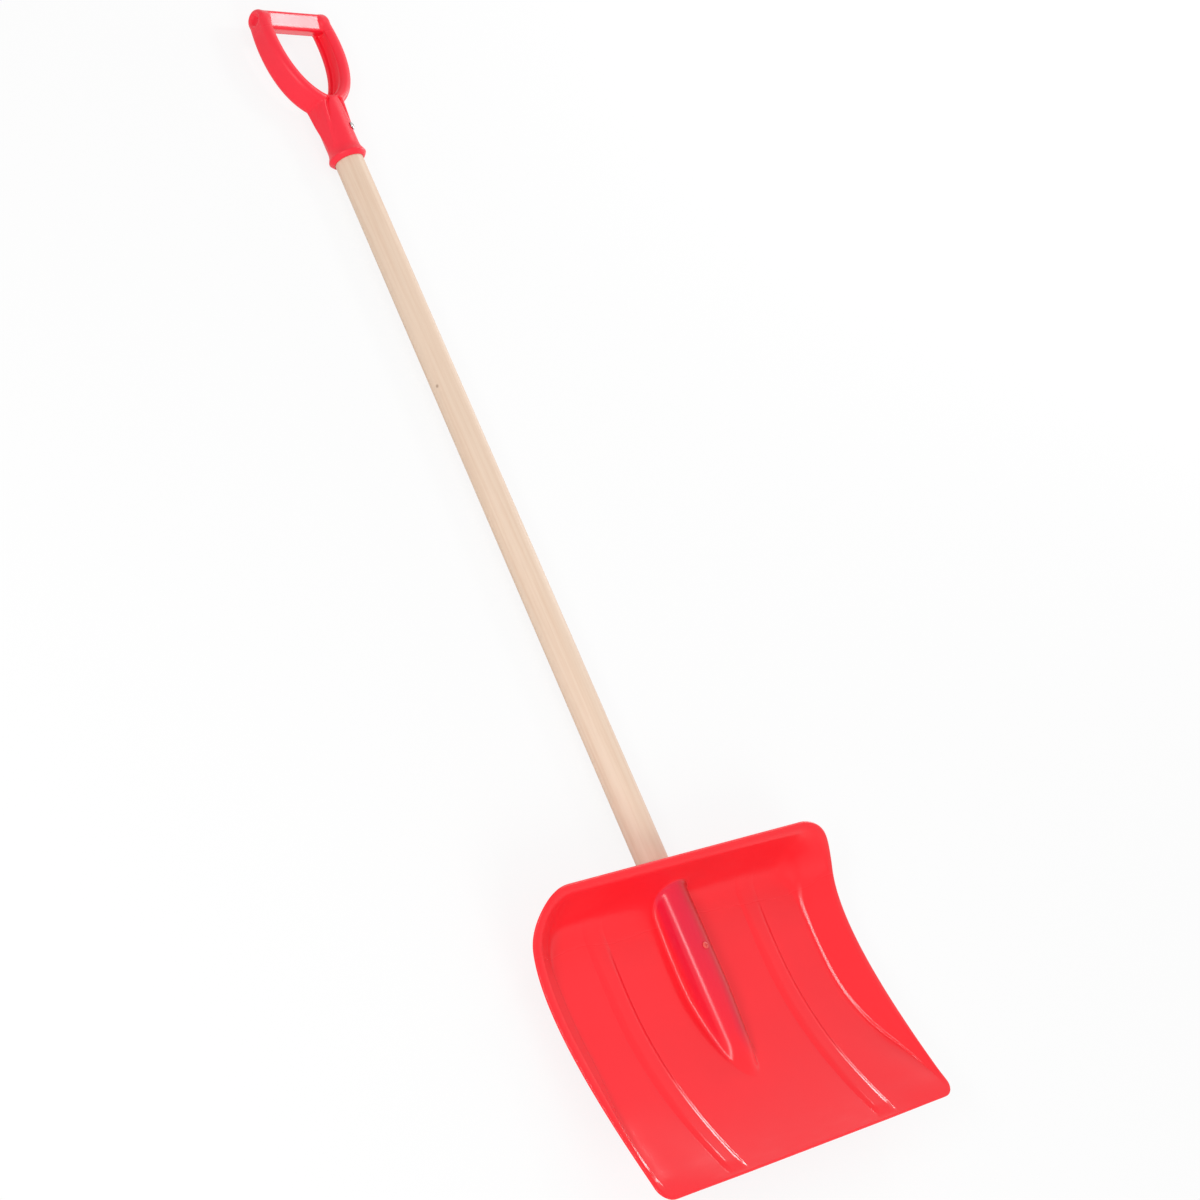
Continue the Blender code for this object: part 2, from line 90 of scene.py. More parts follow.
def tint(name, default, description):
    """A linear colour."""
    return FloatVectorProperty(name=name, description=description, default=default, size=3,
                               min=0.0, max=1.0, subtype="COLOR")


class ShovelBladeSettings(bpy.types.PropertyGroup):
    """Sizes and colours of the scoop blade."""
    width: mm("Width", (BLADE_HIGH.x - BLADE_LOW.x) * 1000, "Across, below the top corners")
    narrowing: mm("Narrowing", 3.7, "Width lost towards the scraping edge")
    height: mm("Height", (BLADE_HIGH.y - BLADE_LOW.y) * 1000, "Lip to scraping edge")
    wall: mm("Wall", 2.4, "Thickness of the moulding")
    edge_round: mm("Edge rounding", 1.1, "Rounding of the outer edges")
    roll: mm("Roll", 3.2, "Radius of the rim's rolled front")
    lip_front: mm("Lip front", 39, "Lip in front of the axis")
    edge_front: mm("Edge front", 40, "Scraping edge in front of the axis")
    floor_behind: mm("Floor behind", 4.5, "Deepest floor behind the axis")
    floor_deepest: mm("Floor deepest", 80, "Lip to the deepest floor")
    floor_raise: mm("Floor raise", 3.3, "Rise of the floor at the sides")
    corner: mm("Top corner", 36.5, "Radius of the two top corners")
    edge_corner: mm("Edge corner", 12, "Corner radius at the scraping edge")
    lip: mm("Lip", 3.6, "Flat rim along the top")
    flange: mm("Flange", 5.8, "Flat rim down the sides")
    brink: mm("Brink", 5, "Rounding from the lip into the top wall")
    top_reach: mm("Top reach", 36, "Lip to the foot of the top wall")
    foot_corner: mm("Foot corner", 20, "Radius where the feet of the walls meet")
    side_reach: mm("Side reach", 28.3, "Side edge to the foot of its wall")
    side_end: mm("Side end", 213.3, "Lip to where the side wall runs out")
    edge_band: mm("Edge band", 6, "Least way from side edge to floor")
    rib_place: mm("Rib place", 80, "Axis to the middle of a rib")
    rib_width: mm("Rib width", 20, "Foot to foot of a rib")
    rib_crown: mm("Rib crown", 8, "Flat top of a rib")
    rib_rise: mm("Rib rise", 2.1, "Height of a rib over the floor")
    socket_radius: mm("Socket radius", 15.5, "Outside of the socket")
    socket_slim: mm("Socket slim", 13.7, "Outside of the socket's lower end")
    socket_blend: mm("Socket blend", 6, "Fillet from the socket to the floor")
    nose: mm("Nose", 32, "Length of the rounded nose")
    red: tint("Red", (0.93, 0.018, 0.028), "Colour of the plastic")
    # Deeper red over the socket: partly the wood seen through the plastic, partly painted shade on the
    # socket's flank
    red_wood_and_shade: tint("Deep red", (0.72, 0.014, 0.048), "Where wood lies behind the plastic")
    # Painted shade: the darker red of the socket's right side
    red_painted_shade: tint("Dark red", (0.56, 0.016, 0.016), "Shaded side of the socket")


class ShovelShaftSettings(bpy.types.PropertyGroup):
    """Sizes and colours of the wooden shaft."""
    low_radius: mm("Lower radius", 12, "At the blade")
    top_radius: mm("Upper radius", 11.3, "At the grip")
    end_radius: mm("End radius", 9.8, "At the slimmer lower end")
    end_taper: mm("End taper", 38, "Length of the slimmer lower end")
    tenon_radius: mm("Tenon radius", 10, "Turned down inside the grip")
    shoulder: mm("Shoulder", 9, "Full shaft inside the collar")
    clearance: mm("Clearance", 0.3, "Room round the shaft in its sockets")
    sides: IntProperty(name="Sides", description="Facets round a turned piece", default=72, min=12)
    pale: tint("Pale wood", (0.78, 0.60, 0.462), "Colour between the grain lines")
    grain: tint("Grain", (0.70, 0.49, 0.350), "Colour of the grain lines")
    knot: tint("Knot", (0.22, 0.11, 0.06), "Colour of the small knot")


class ShovelGripSettings(bpy.types.PropertyGroup):
    """Sizes and colours of the D-grip."""
    bar_up: mm("Bar up", 125, "Collar's foot to the crossbar's middle")
    bar_half: mm("Bar half", 32, "Axis to an arm's middle, at the crossbar")
    bar_height: mm("Bar height", 15, "Crossbar, along the shaft")
    bar_depth: mm("Bar depth", 12.5, "Crossbar, front to back")
    bar_tilt: angle("Bar tilt", 14, "Turn of its front towards the blade")
    bar_round: mm("Bar rounding", 2, "Rounding of the crossbar")
    arm_depth: mm("Arm depth", 23.5, "Front to back at an arm's root")
    arm_end: mm("Arm end", 17.8, "Front to back at an arm's round end")
    arm_thick: mm("Arm thickness", 11, "Thickness at the crossbar")
    arm_root: mm("Arm root", 9.5, "Thickness at the root")
    arm_round: mm("Arm rounding", 5.3, "Rounding of an arm")
    groove_width: mm("Groove width", 11.2, "Groove down the inside of each arm")
    groove_depth: mm("Groove depth", 4, "How deep the groove is")
    dimple: mm("Dimple", 9.6, "Across the sink mark on an arm's end")
    dimple_depth: mm("Dimple depth", 1.6, "How deep the sink mark is")
    socket_radius: mm("Socket radius", 12.8, "Outside of the grip's socket")
    socket_top: mm("Socket top", 56.5, "Collar's foot to the socket's crown")
    collar_radius: mm("Collar radius", 15.5, "Widest ring of the collar")
    cheek: mm("Cheek", 6.4, "Thickness of the flat by the socket")
    cheek_depth: mm("Cheek depth", 22.2, "Front to back of that flat")
    turn: angle("Turn", 5, "Turn of the grip round the shaft")
    voxel: mm("Voxel", 0.53, "Grain of the moulded blends")
    red: tint("Red", (0.95, 0.014, 0.038), "Colour of the plastic")


class ShovelScrewSettings(bpy.types.PropertyGroup):
    """Sizes and colours of the two screws."""
    grip_up: mm("Grip screw up", 25.5, "Collar's foot to the grip's screw")
    grip_turn: angle("Grip screw turn", 36, "Round the socket from its front")
    grip_head: mm("Grip screw head", 6.4, "Across the head in the grip")
    blade_drop: mm("Blade screw drop", 65, "Lip to the blade's screw")
    blade_head: mm("Blade screw head", 5, "Across the head in the blade")
    head_height: mm("Head height", 1.6, "Pan head over its seat")
    shank: mm("Shank", 3, "Across the shank")
    reach: mm("Reach", 14, "Shank under the head")
    sides: IntProperty(name="Sides", description="Facets round a screw", default=48, min=12)
    zinc: tint("Zinc", (0.56, 0.56, 0.55), "Colour of the plating")
    lacquer: tint("Lacquer", (0.78, 0.09, 0.075), "Colour of the blade's screw")


class ShovelStageSettings(bpy.types.PropertyGroup):
    """Camera, floor and light."""
    lens: FloatProperty(name="Lens", description="Focal length in millimetres", default=93.0, unit="CAMERA")
    floor: tint("Floor", (0.86, 0.86, 0.86), "Colour of the floor")
    sky: FloatProperty(name="Sky", description="Strength of the even light", default=0.63,
                       min=0.0, subtype="FACTOR")


# Node trees


def fill(socket, value):
    """Join an input to another socket of its tree, or give it a value."""
    if isinstance(value, bpy.types.NodeSocket):
        socket.id_data.links.new(value, socket)
    else:
        socket.default_value = value


def node(tree, kind, inputs=None, **settings):
    """Add a node, set its properties and join or fill its inputs by name or number."""
    made = tree.nodes.new(kind)
    for key, value in settings.items():
        setattr(made, key, value)
    for key, value in (inputs or {}).items():
        fill(made.inputs[key], value)
    return made.outputs


def new_tree(name, **sockets):
    """An empty tree that takes geometry, named inputs and a material."""
    tree = bpy.data.node_groups.new(name, "GeometryNodeTree")
    for label, kind in {"Geometry": "Geometry", **sockets, "Material": "Material"}.items():
        tree.interface.new_socket(label, in_out="INPUT", socket_type=f"NodeSocket{kind}")
    tree.interface.new_socket("Geometry", in_out="OUTPUT", socket_type="NodeSocketGeometry")
    return tree, tree.nodes.new("NodeGroupInput").outputs


def close_tree(tree, geometry, given):
    """End a tree in Realize Instances and Set Material."""
    real = node(tree, "GeometryNodeRealizeInstances", {"Geometry": geometry})
    dressed = node(tree, "GeometryNodeSetMaterial", {"Geometry": real[0], "Material": given["Material"]})
    tree.links.new(dressed[0], tree.nodes.new("NodeGroupOutput").inputs[0])
    return tree


def attribute(tree, name, kind="FLOAT"):
    """What each point of the line that feeds a tree carries."""
    return node(tree, "GeometryNodeInputNamedAttribute", {"Name": name}, data_type=kind)[0]


def turned_tree(name):
    """Turns a line of points with a radius each into a round solid."""
    tree, given = new_tree(name, Sides="Int")
    path = node(tree, "GeometryNodeMeshToCurve", {"Mesh": given["Geometry"]})
    ring = node(tree, "GeometryNodeCurvePrimitiveCircle", {"Resolution": given["Sides"], "Radius": 1.0})
    solid = node(tree, "GeometryNodeCurveToMesh", {
        "Curve": path[0], "Profile Curve": ring["Curve"], "Scale": attribute(tree, "turn_radius"),
        "Fill Caps": True})
    return close_tree(tree, solid[0], given)


FILLET_STEPS = 9


def swept_tree(name):
    """Sweeps a rounded bar along a line, its thickness and depth scaled at each point."""
    tree, given = new_tree(name, Thickness="Float", Depth="Float", Rounding="Float")
    path = node(tree, "GeometryNodeMeshToCurve", {"Mesh": given["Geometry"]})
    level = node(tree, "GeometryNodeSetCurveNormal", {"Curve": path[0]}, mode="Z_UP")
    position = node(tree, "GeometryNodeInputPosition")[0]
    marked = node(tree, "GeometryNodeStoreNamedAttribute", {
        "Geometry": level[0], "Name": "sweep_middle", "Value": position},
        data_type="FLOAT_VECTOR", domain="POINT")
    bar = node(tree, "GeometryNodeCurvePrimitiveQuadrilateral", {
        "Width": given["Thickness"], "Height": given["Depth"]})
    section = node(tree, "GeometryNodeFilletCurve", {
        "Curve": bar[0], "Count": FILLET_STEPS, "Limit Radius": True, "Radius": given["Rounding"]},
        mode="POLY")
    solid = node(tree, "GeometryNodeCurveToMesh", {
        "Curve": marked[0], "Profile Curve": section[0], "Fill Caps": True})
    middle = attribute(tree, "sweep_middle", "FLOAT_VECTOR")
    thick, deep = attribute(tree, "sweep_thick"), attribute(tree, "sweep_deep")
    scale = node(tree, "ShaderNodeCombineXYZ", {"X": thick, "Y": thick, "Z": deep})
    away = node(tree, "ShaderNodeVectorMath", {0: position, 1: middle}, operation="SUBTRACT")
    moved = node(tree, "ShaderNodeVectorMath", {0: away[0], 1: scale[0], 2: middle},
                 operation="MULTIPLY_ADD")
    shaped = node(tree, "GeometryNodeSetPosition", {"Geometry": solid[0], "Position": moved[0]})
    return close_tree(tree, shaped[0], given)


def screws_tree(name):
    """Sets one screw on each point, turned to the point's direction and scaled to its head."""
    tree, given = new_tree(name, Screw="Object")
    points = node(tree, "GeometryNodeMeshToPoints", {"Mesh": given["Geometry"]})
    screw = node(tree, "GeometryNodeObjectInfo", {"Object": given["Screw"]})
    facing = node(tree, "FunctionNodeAlignRotationToVector", {
        "Vector": attribute(tree, "screw_out", "FLOAT_VECTOR")}, axis="Z")
    placed = node(tree, "GeometryNodeInstanceOnPoints", {
        "Points": points[0], "Instance": screw["Geometry"], "Rotation": facing[0],
        "Scale": attribute(tree, "screw_size")})
    return close_tree(tree, placed[0], given)


TREES = {"turned": turned_tree, "swept": swept_tree, "screws": screws_tree}


def run_tree(kind, name, points, attributes, inputs):
    """Feed a line or points to a tree and keep what it makes as a plain mesh object."""
    mesh = bpy.data.meshes.new(name)
    edges = [] if kind == "screws" else [(k, k + 1) for k in range(len(points) - 1)]
    mesh.from_pydata([tuple(p) for p in points], edges, [])
    for key, values in attributes.items():
        values = np.asarray(values, np.float32)
        layer, field = ("FLOAT_VECTOR", "vector") if values.ndim == 2 else ("FLOAT", "value")
        mesh.attributes.new(key, layer, "POINT").data.foreach_set(field, values.ravel())
    feed = add_object(f"{name} line", mesh)
    group = bpy.data.node_groups.get(kind) or TREES[kind](kind)
    step = feed.modifiers.new(kind, "NODES")
    step.node_group = group
    for item in group.interface.items_tree:
        if item.item_type == "SOCKET" and item.in_out == "INPUT" and item.name in inputs:
            step[item.identifier] = inputs[item.name]
    made = keep_evaluated(name, feed)
    remove(feed)
    for key in list(made.data.attributes.keys()):
        if key.startswith(("turn_", "sweep_", "screw_")):
            made.data.attributes.remove(made.data.attributes[key])
    return made


LEAST_STEP, LEAST_RADIUS = 2e-5, 1e-4


def turned(name, profile, mat, start=(0, 0, AXIS_Z), way=(0, 1, 0), sides=None):
    """A round solid from (radius, distance) stations along a direction."""
    start, way = Vector(start), Vector(way).normalized()
    points, radii, last = [], [], 0.0
    for radius, place in profile:
        last = max(place, last + LEAST_STEP) if points else place
        points.append(start + way * last)
        radii.append(max(radius, LEAST_RADIUS))
    sides = sides or bpy.context.scene.shovel_shaft.sides
    return run_tree("turned", name, points, {"turn_radius": radii}, {"Sides": sides, "Material": mat})


def swept(name, line, size, mat, thick=1.0, deep=1.0):
    """A rounded bar of (thickness, depth, rounding) along a line, scaled at each point."""
    even = np.ones(len(line))
    scales = {"sweep_thick": even * thick, "sweep_deep": even * deep}
    inputs = dict(zip(("Thickness", "Depth", "Rounding"), size), Material=mat)
    return run_tree("swept", name, line, scales, inputs)


# Mesh helpers


def add_object(name, mesh):
    """Link a mesh into the scene."""
    obj = bpy.data.objects.new(name, mesh)
    bpy.context.scene.collection.objects.link(obj)
    return obj


def remove(obj):
    """Take a helper object out of the file."""
    bpy.data.objects.remove(obj, do_unlink=True)


def keep_evaluated(name, obj):
    """A new object that holds obj's mesh with its modifiers applied."""
    bpy.context.view_layer.update()
    graph = bpy.context.evaluated_depsgraph_get()
    mesh = bpy.data.meshes.new_from_object(obj.evaluated_get(graph), depsgraph=graph)
    mesh.name = name
    if not len(mesh.polygons):
        raise RuntimeError(f"{name} has no faces")
    return add_object(name, mesh)


def modified(obj, kind, **settings):
    """Apply one modifier and return the object that replaces obj."""
    step = obj.modifiers.new(kind.lower(), kind)
    for key, value in settings.items():
        setattr(step, key, value)
    name = obj.name
    made = keep_evaluated(name, obj)
    remove(obj)
    made.name = name
    return made


def combined(obj, tools, operation):
    """Join or cut obj with closed tools, which are used up."""
    for tool in tools:
        obj = modified(obj, "BOOLEAN", operation=operation, solver="MANIFOLD", object=tool)
        remove(tool)
    return obj


def grid_faces(index):
    """Quads over a grid of vertex numbers."""
    return np.stack([index[:-1, :-1], index[1:, :-1], index[1:, 1:], index[:-1, 1:]], -1).reshape(-1, 4)


def mesh_object(name, points, faces):
    """An object from the vertices and quads of a closed mesh, its faces turned outwards."""
    mesh = bpy.data.meshes.new(name)
    mesh.from_pydata(points.tolist(), [], faces.tolist())
    mesh.validate()
    bm = bmesh.new()
    bm.from_mesh(mesh)
    bmesh.ops.recalc_face_normals(bm, faces=bm.faces[:])
    bm.to_mesh(mesh)
    bm.free()
    return add_object(name, mesh)


def finish_piece(obj, mat, nodes, sharp):
    """Shade a piece, dress it, hang it on its body and hide the solids it replaces."""
    mesh = obj.data
    mesh.materials.clear()
    mesh.materials.append(mat)
    mesh.polygons.foreach_set("material_index", np.zeros(len(mesh.polygons), np.int32))
    mesh.shade_smooth()
    mesh.set_sharp_from_angle(angle=radians(sharp))
    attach(obj, BODY)
    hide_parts(*nodes)


def bezier(points, t):
    """Cubic curve through the first and last of four points."""
    a, b, c, d = (np.array(p, float) for p in points)
    t = np.asarray(t, float)[:, None]
    return (1 - t)**3 * a + 3 * (1 - t)**2 * t * b + 3 * (1 - t) * t**2 * c + t**3 * d


def smooth_step(x):
    """Soft ramp from 0 to 1."""
    x = np.clip(x, 0, 1)
    return x * x * (3 - 2 * x)


def soft_max(a, b, blend):
    """The higher of two surfaces, with a fillet where they cross."""
    near = np.maximum(blend - np.abs(a - b), 0) / blend
    return np.maximum(a, b) + near * near * blend / 4


def stations(stops, counts):
    """Places from stop to stop, each stretch evenly split, without the first stop."""
    return np.concatenate([np.linspace(a, b, n)[1:] for a, b, n in zip(stops, stops[1:], counts)])


# Blade: pulls of the rim's curve, falls of the walls, starts and ends of forms, and counts of rows
RIM_UPPER_PULL, RIM_LOWER_PULL, RIM_STEPS = (0.030, 0.0365), (0.017, -0.023), 400
TOP_HOLLOW, TOP_CLOSENESS = 2.5, 1.25
BRINK_GUESS, BRINK_ROUNDS = 1.2, 40
BRINK_STEPS, HOLLOW_STEPS = 9, 19
SIDE_PLACES = (0.0, 0.14, 0.84, 0.89, 0.92, 1.0)
SIDE_SLOPES = (0.0, 0.98, 0.98, 1.93, 1.93, 0.0)
SIDE_STEPS, SIDE_FINE_STEPS = (7, 7, 15), 2001
SIDE_CLOSING, SIDE_BLEND = 0.345, 0.008
RAISE_START, RAISE_FULL, RAISE_INNER, RAISE_OUTER = 0.150, 0.198, 0.070, 0.138
RAISE_BLEND = 0.002
RIB_START, RIB_FADE, RIB_STOP, RIB_END = 0.008, 0.080, 0.002, 0.010
SOCKET_MOUTH, SOCKET_TAPER, SOCKET_END = 0.002, 0.095, 0.133
SOCKET_DRAFT = radians(72)
SOCKET_INSET = 0.00005
MOUTH_ROUND = ((0.0, 0.0008), (0.0003, 0.0002), (0.0008, 0.0))
NOSE_BLUNT, NOSE_STEPS = 2.2, 12
FLANGE_STEPS = (0.0, 0.12, 0.26, 0.42, 0.7, 1.0)
FLANGE_SHARE, FLANGE_BLEND = 0.2, 0.003
SOCKET_BAND, RIB_BAND = 0.021, 0.55
COLUMNS = (37, 13, 45, 10)
CORNER_ROWS, SIDE_ROWS, EDGE_ROWS, EDGE_STEPS = 41, 94, 9, 4


def rim_front(s, drop):
    """Height of the rim in front of the axis, at a drop below the lip."""
    curve = bezier([(0.0, s.lip_front), RIM_UPPER_PULL, RIM_LOWER_PULL, (s.height, s.edge_front)],
                   np.linspace(0, 1, RIM_STEPS))
    return np.interp(drop, curve[:, 0], curve[:, 1])


def floor_front(s, drop):
    """Height of the floor, two parabolas that meet at the deepest line."""
    upper = s.floor_behind * ((drop - s.floor_deepest) / s.floor_deepest)**2
    lower = (s.edge_front + s.floor_behind) * ((drop - s.floor_deepest) / (s.height - s.floor_deepest))**2
    return np.where(drop < s.floor_deepest, upper, lower) - s.floor_behind


def floor_raise(s, x, drop):
    """Rise of the floor to the side edges, above the scraping edge."""
    along = s.floor_raise * smooth_step((drop - RAISE_START) / (RAISE_FULL - RAISE_START))
    along = -soft_max(-along, floor_front(s, drop) - rim_front(s, drop), RAISE_BLEND)
    return along * smooth_step((np.abs(x) - RAISE_INNER) / (RAISE_OUTER - RAISE_INNER))


def rib_ends(s, drop):
    """Share of a rib's height at a drop below the lip."""
    return np.minimum(smooth_step((drop - RIB_START) / RIB_FADE),
                      smooth_step((s.height - RIB_STOP - drop) / RIB_END))


def rib_front(s, x, drop):
    """Height of the ribs on the front, flat on top with round shoulders."""
    off = np.abs(np.abs(x) - s.rib_place)
    flank = np.clip((s.rib_width / 2 - off) / ((s.rib_width - s.rib_crown) / 2), 0, 1)
    return s.rib_rise * rib_ends(s, drop) * flank * (2 - flank)


def rib_behind(s, x, drop):
    """Height of the hollows behind the ribs."""
    off = np.clip(np.abs(np.abs(x) - s.rib_place) / (s.rib_width / 2), 0, 1)
    return s.rib_rise * rib_ends(s, drop) * np.cos(off * pi / 2)**2


def socket_front(s, x, drop):
    """Height of the socket's outside, with a drafted side below its round front."""
    taper = np.interp(drop, [SOCKET_TAPER, SOCKET_END], [s.socket_radius, s.socket_slim])
    nose = np.clip((drop - SOCKET_END) / s.nose, 0, 1)
    radius = np.maximum(taper * np.sqrt(1 - nose**NOSE_BLUNT), 1e-6)
    brow = radius * sin(SOCKET_DRAFT)
    off = np.abs(x)
    front = np.sqrt(np.maximum(radius**2 - np.minimum(off, brow)**2, 0))
    return front - np.maximum(off - brow, 0) * tan(SOCKET_DRAFT) - np.where(nose >= 1, 1.0, 0.0)


def half_width(s, drop):
    """Half of the width inside the rounded outer edge."""
    e = s.edge_round
    share = np.maximum(0, (drop - s.corner) / (s.height - s.corner))
    half = (s.width - s.narrowing * share) / 2
    past = np.clip(drop - (s.height - s.edge_corner), 0, s.edge_corner - e)
    return half - s.edge_corner + np.sqrt(np.maximum((s.edge_corner - e)**2 - past**2, 0))


def side_reach(s, drop):
    """Side edge to the foot of its wall, less towards the scraping edge."""
    reach = -soft_max(-s.side_reach, SIDE_CLOSING * (drop - s.side_end), SIDE_BLEND)
    return soft_max(reach, s.edge_band, SIDE_BLEND)


def top_profile(s):
    """(along, share of the fall) of the top wall: a round brink, then a hollow curve."""
    reach = s.top_reach - s.lip
    fall = s.lip_front + s.floor_behind / 2
    turn = BRINK_GUESS
    for _ in range(BRINK_ROUNDS):
        rest_fall = fall - s.brink * (1 - cos(turn))
        rest_reach = reach - s.brink * sin(turn)
        turn = atan(TOP_HOLLOW * rest_fall / rest_reach)
    arc = np.linspace(0, turn, BRINK_STEPS)[1:]
    rest = np.linspace(0, 1, HOLLOW_STEPS)[1:]**TOP_CLOSENESS
    along = np.concatenate([s.brink * np.sin(arc), s.brink * sin(turn) + rest_reach * rest]) / reach
    down = np.concatenate([s.brink * (1 - np.cos(arc)),
                           fall - rest_fall * (1 - rest)**TOP_HOLLOW]) / fall
    return along, down


def side_profile():
    """(along, share of the fall) of a side wall: a soft brink, a straight ramp and a steep foot."""
    fine = np.linspace(0, 1, SIDE_FINE_STEPS)
    slope = np.interp(fine, SIDE_PLACES, SIDE_SLOPES)
    fall = np.concatenate([[0], np.cumsum(slope[1:] + slope[:-1])])
    along = stations((*SIDE_PLACES[:3], 1.0), SIDE_STEPS)
    return along, np.interp(along, fine, fall / fall[-1])


def ring_row(s, profiles, edge, inward, foot, sideways):
    """(x, drop, share of the fall, way in) points over the flange to the foot of its wall."""
    edge, inward, foot = np.array(edge), np.array(inward), np.array(foot)
    flat = s.lip + (s.flange - s.lip) * sideways - s.edge_round
    flange = -soft_max(-flat, -np.linalg.norm(foot - edge) * FLANGE_SHARE, FLANGE_BLEND)
    brink = edge + inward * flange
    (top_along, top_share), (side_along, side_share) = profiles
    along = top_along + (side_along - top_along) * sideways
    share = top_share + (side_share - top_share) * sideways
    inset = flange * np.array(FLANGE_STEPS)
    wall = brink + (foot - brink) * along[:, None]
    return np.column_stack([np.vstack([edge + inward * inset[:, None], wall]),
                            np.concatenate([0 * inset, share]), np.concatenate([inset, 0 * share + 1.0])])


def corner_rows(s, profiles, top_half):
    """Ring rows round the right top corner."""
    radius = s.corner - s.edge_round
    straight = s.width / 2 - s.corner - top_half
    arc = radius * pi / 2
    run = straight + arc + s.top_reach + s.foot_corner - s.corner
    rows = []
    even = np.linspace(0, 1, CORNER_ROWS)[1:]
    for k in (even + np.arccos(1 - even) * 2 / pi) / 2:
        turn = np.clip((k * run - straight) / radius, 0, pi / 2)
        before, past = min(0.0, k * run - straight), max(0.0, k * run - straight - arc)
        across = float(half_width(s, s.corner + past)) - radius * (1 - sin(turn)) + before
        edge = (across, s.corner - radius * cos(turn) + past)
        foot_turn = k * pi / 2
        foot = (top_half + s.foot_corner * sin(foot_turn),
                s.top_reach + s.foot_corner * (1 - cos(foot_turn)))
        inward = (-sin(turn), cos(turn))
        rows.append(ring_row(s, profiles, edge, inward, foot, sin(foot_turn)**2))
    return rows


def blade_grid(s):
    """Plan points, quads and boundary loop of the sheet, with close columns over the socket and the ribs."""
    e = s.edge_round
    corner_end = s.top_reach + s.foot_corner
    top_half = float(half_width(s, corner_end) - side_reach(s, corner_end)) - s.foot_corner
    near, fixed = (s.rib_place + s.rib_width * k for k in (-RIB_BAND, RIB_BAND))
    right = stations((0.0, SOCKET_BAND, near, fixed, top_half), COLUMNS)
    columns = np.concatenate([-right[::-1], [0.0], right])
    profiles = top_profile(s), side_profile()
    straight = np.linspace(corner_end, s.height - s.edge_corner, SIDE_ROWS)[1:]
    turns = np.linspace(0, pi / 2, EDGE_ROWS)[1:]
    ends = s.height - s.edge_corner + (s.edge_corner - e) * np.sin(turns)
    rows = corner_rows(s, profiles, top_half)
    for drop in np.concatenate([straight, ends]):
        half = float(half_width(s, drop))
        foot = half - float(side_reach(s, drop)), drop
        rows.append(ring_row(s, profiles, (half, drop), (-1.0, 0.0), foot, 1.0))
    rows = np.array(rows)
    tops = np.array([ring_row(s, profiles, (x, e), (0.0, 1.0), (x, s.top_reach), 0.0) for x in columns])
    left = rows * np.array((-1.0, 1.0, 1.0, 1.0))
    inner = columns[1:-1]
    spread = (rows[:, -1, 0:1] - fixed) / (top_half - fixed)
    across = np.clip(inner, -fixed, fixed)
    floor = np.stack([across + (inner - across) * spread,
                      np.broadcast_to(rows[:, -1, 1:2], (len(rows), len(inner))),
                      *np.ones((2, len(rows), len(inner)))], -1)
    blocks = [tops, left, rows, floor]
    starts = np.cumsum([0] + [b.shape[0] * b.shape[1] for b in blocks])
    t, l, r, f = (np.arange(a, b).reshape(block.shape[:2])
                  for a, b, block in zip(starts, starts[1:], blocks))
    middle = np.vstack([t[:, -1], np.column_stack([l[:, -1], f, r[:, -1]])])
    faces = np.vstack([grid_faces(t)[:, ::-1], grid_faces(np.vstack([t[0], l])),
                       grid_faces(np.vstack([t[-1], r]))[:, ::-1], grid_faces(middle)])
    loop = np.concatenate([t[:, 0], r[:, 0], r[-1, 1:], f[-1, ::-1], l[-1, :0:-1], l[::-1, 0]])
    return np.vstack([b.reshape(-1, 4) for b in blocks]), faces, loop


def vertex_normals(points, faces):
    """Vertex normals of a quad mesh, area weighted."""
    a, b, c, d = (points[faces[:, k]] for k in range(4))
    face_normals = np.cross(c - a, d - b)
    normals = np.zeros_like(points)
    for k in range(4):
        np.add.at(normals, faces[:, k], face_normals)
    return normals / np.linalg.norm(normals, axis=1)[:, None]


def blade_shell(s):
    """The closed shell of the blade, with the socket's swelling on its front."""
    plan, faces, loop = blade_grid(s)
    x, drop, share, inset = plan.T
    e = s.edge_round
    rolled = np.clip(s.roll - e - inset, 0, None)
    fade = smooth_step((s.height - drop) / (2 * s.edge_corner))
    rim = rim_front(s, drop) - fade * (s.roll - np.sqrt(s.roll**2 - rolled**2))
    floor = floor_front(s, drop) + floor_raise(s, x, drop)

    def surface(rib):
        return np.column_stack([x, LIP_Y - drop, AXIS_Z + rim + (floor + rib - rim) * share])

    front, behind = surface(rib_front(s, x, drop)), surface(rib_behind(s, x, drop))
    front[:, 2] = AXIS_Z + soft_max(front[:, 2] - AXIS_Z, socket_front(s, x, drop), s.socket_blend)
    normals = vertex_normals(behind, faces)
    back = behind - normals * s.wall
    edge, up = front[loop], normals[loop]
    along = np.roll(edge, -1, axis=0) - np.roll(edge, 1, axis=0)
    out = np.cross(along, up)
    out /= np.linalg.norm(out, axis=1)[:, None]
    if (out * (edge - edge.mean(axis=0))).sum() < 0:
        out = -out
    quarter = np.linspace(0, pi / 2, EDGE_STEPS)
    strip = [edge - up * e + e * (up * cos(a) + out * sin(a)) for a in quarter[1:]]
    strip += [edge - up * (s.wall - e) + e * (out * cos(a) - up * sin(a)) for a in quarter[:-1]]
    count = len(front)
    numbers = [loop] + [2 * count + k * len(loop) + np.arange(len(loop)) for k in range(len(strip))]
    lines = np.array(numbers + [loop + count])
    lines = np.column_stack([lines, lines[:, :1]])
    points = np.vstack([front, back] + strip)
    return points, np.vstack([faces, faces[:, ::-1] + count, grid_faces(lines)])


# Shaft and screws: rounded lower end as (inset, way up), steps along, and room in the screw holes
SHAFT_TIP = ((0.003, 0.0), (0.0006, 0.0024), (0.0, 0.0036))
HELD_STEPS, SHAFT_STEPS = 8, 60
TENON_CHAMFER = 0.0008
HOLE_ROOM, HOLE_BELOW, HOLE_ABOVE = 0.0003, 0.0004, 0.012


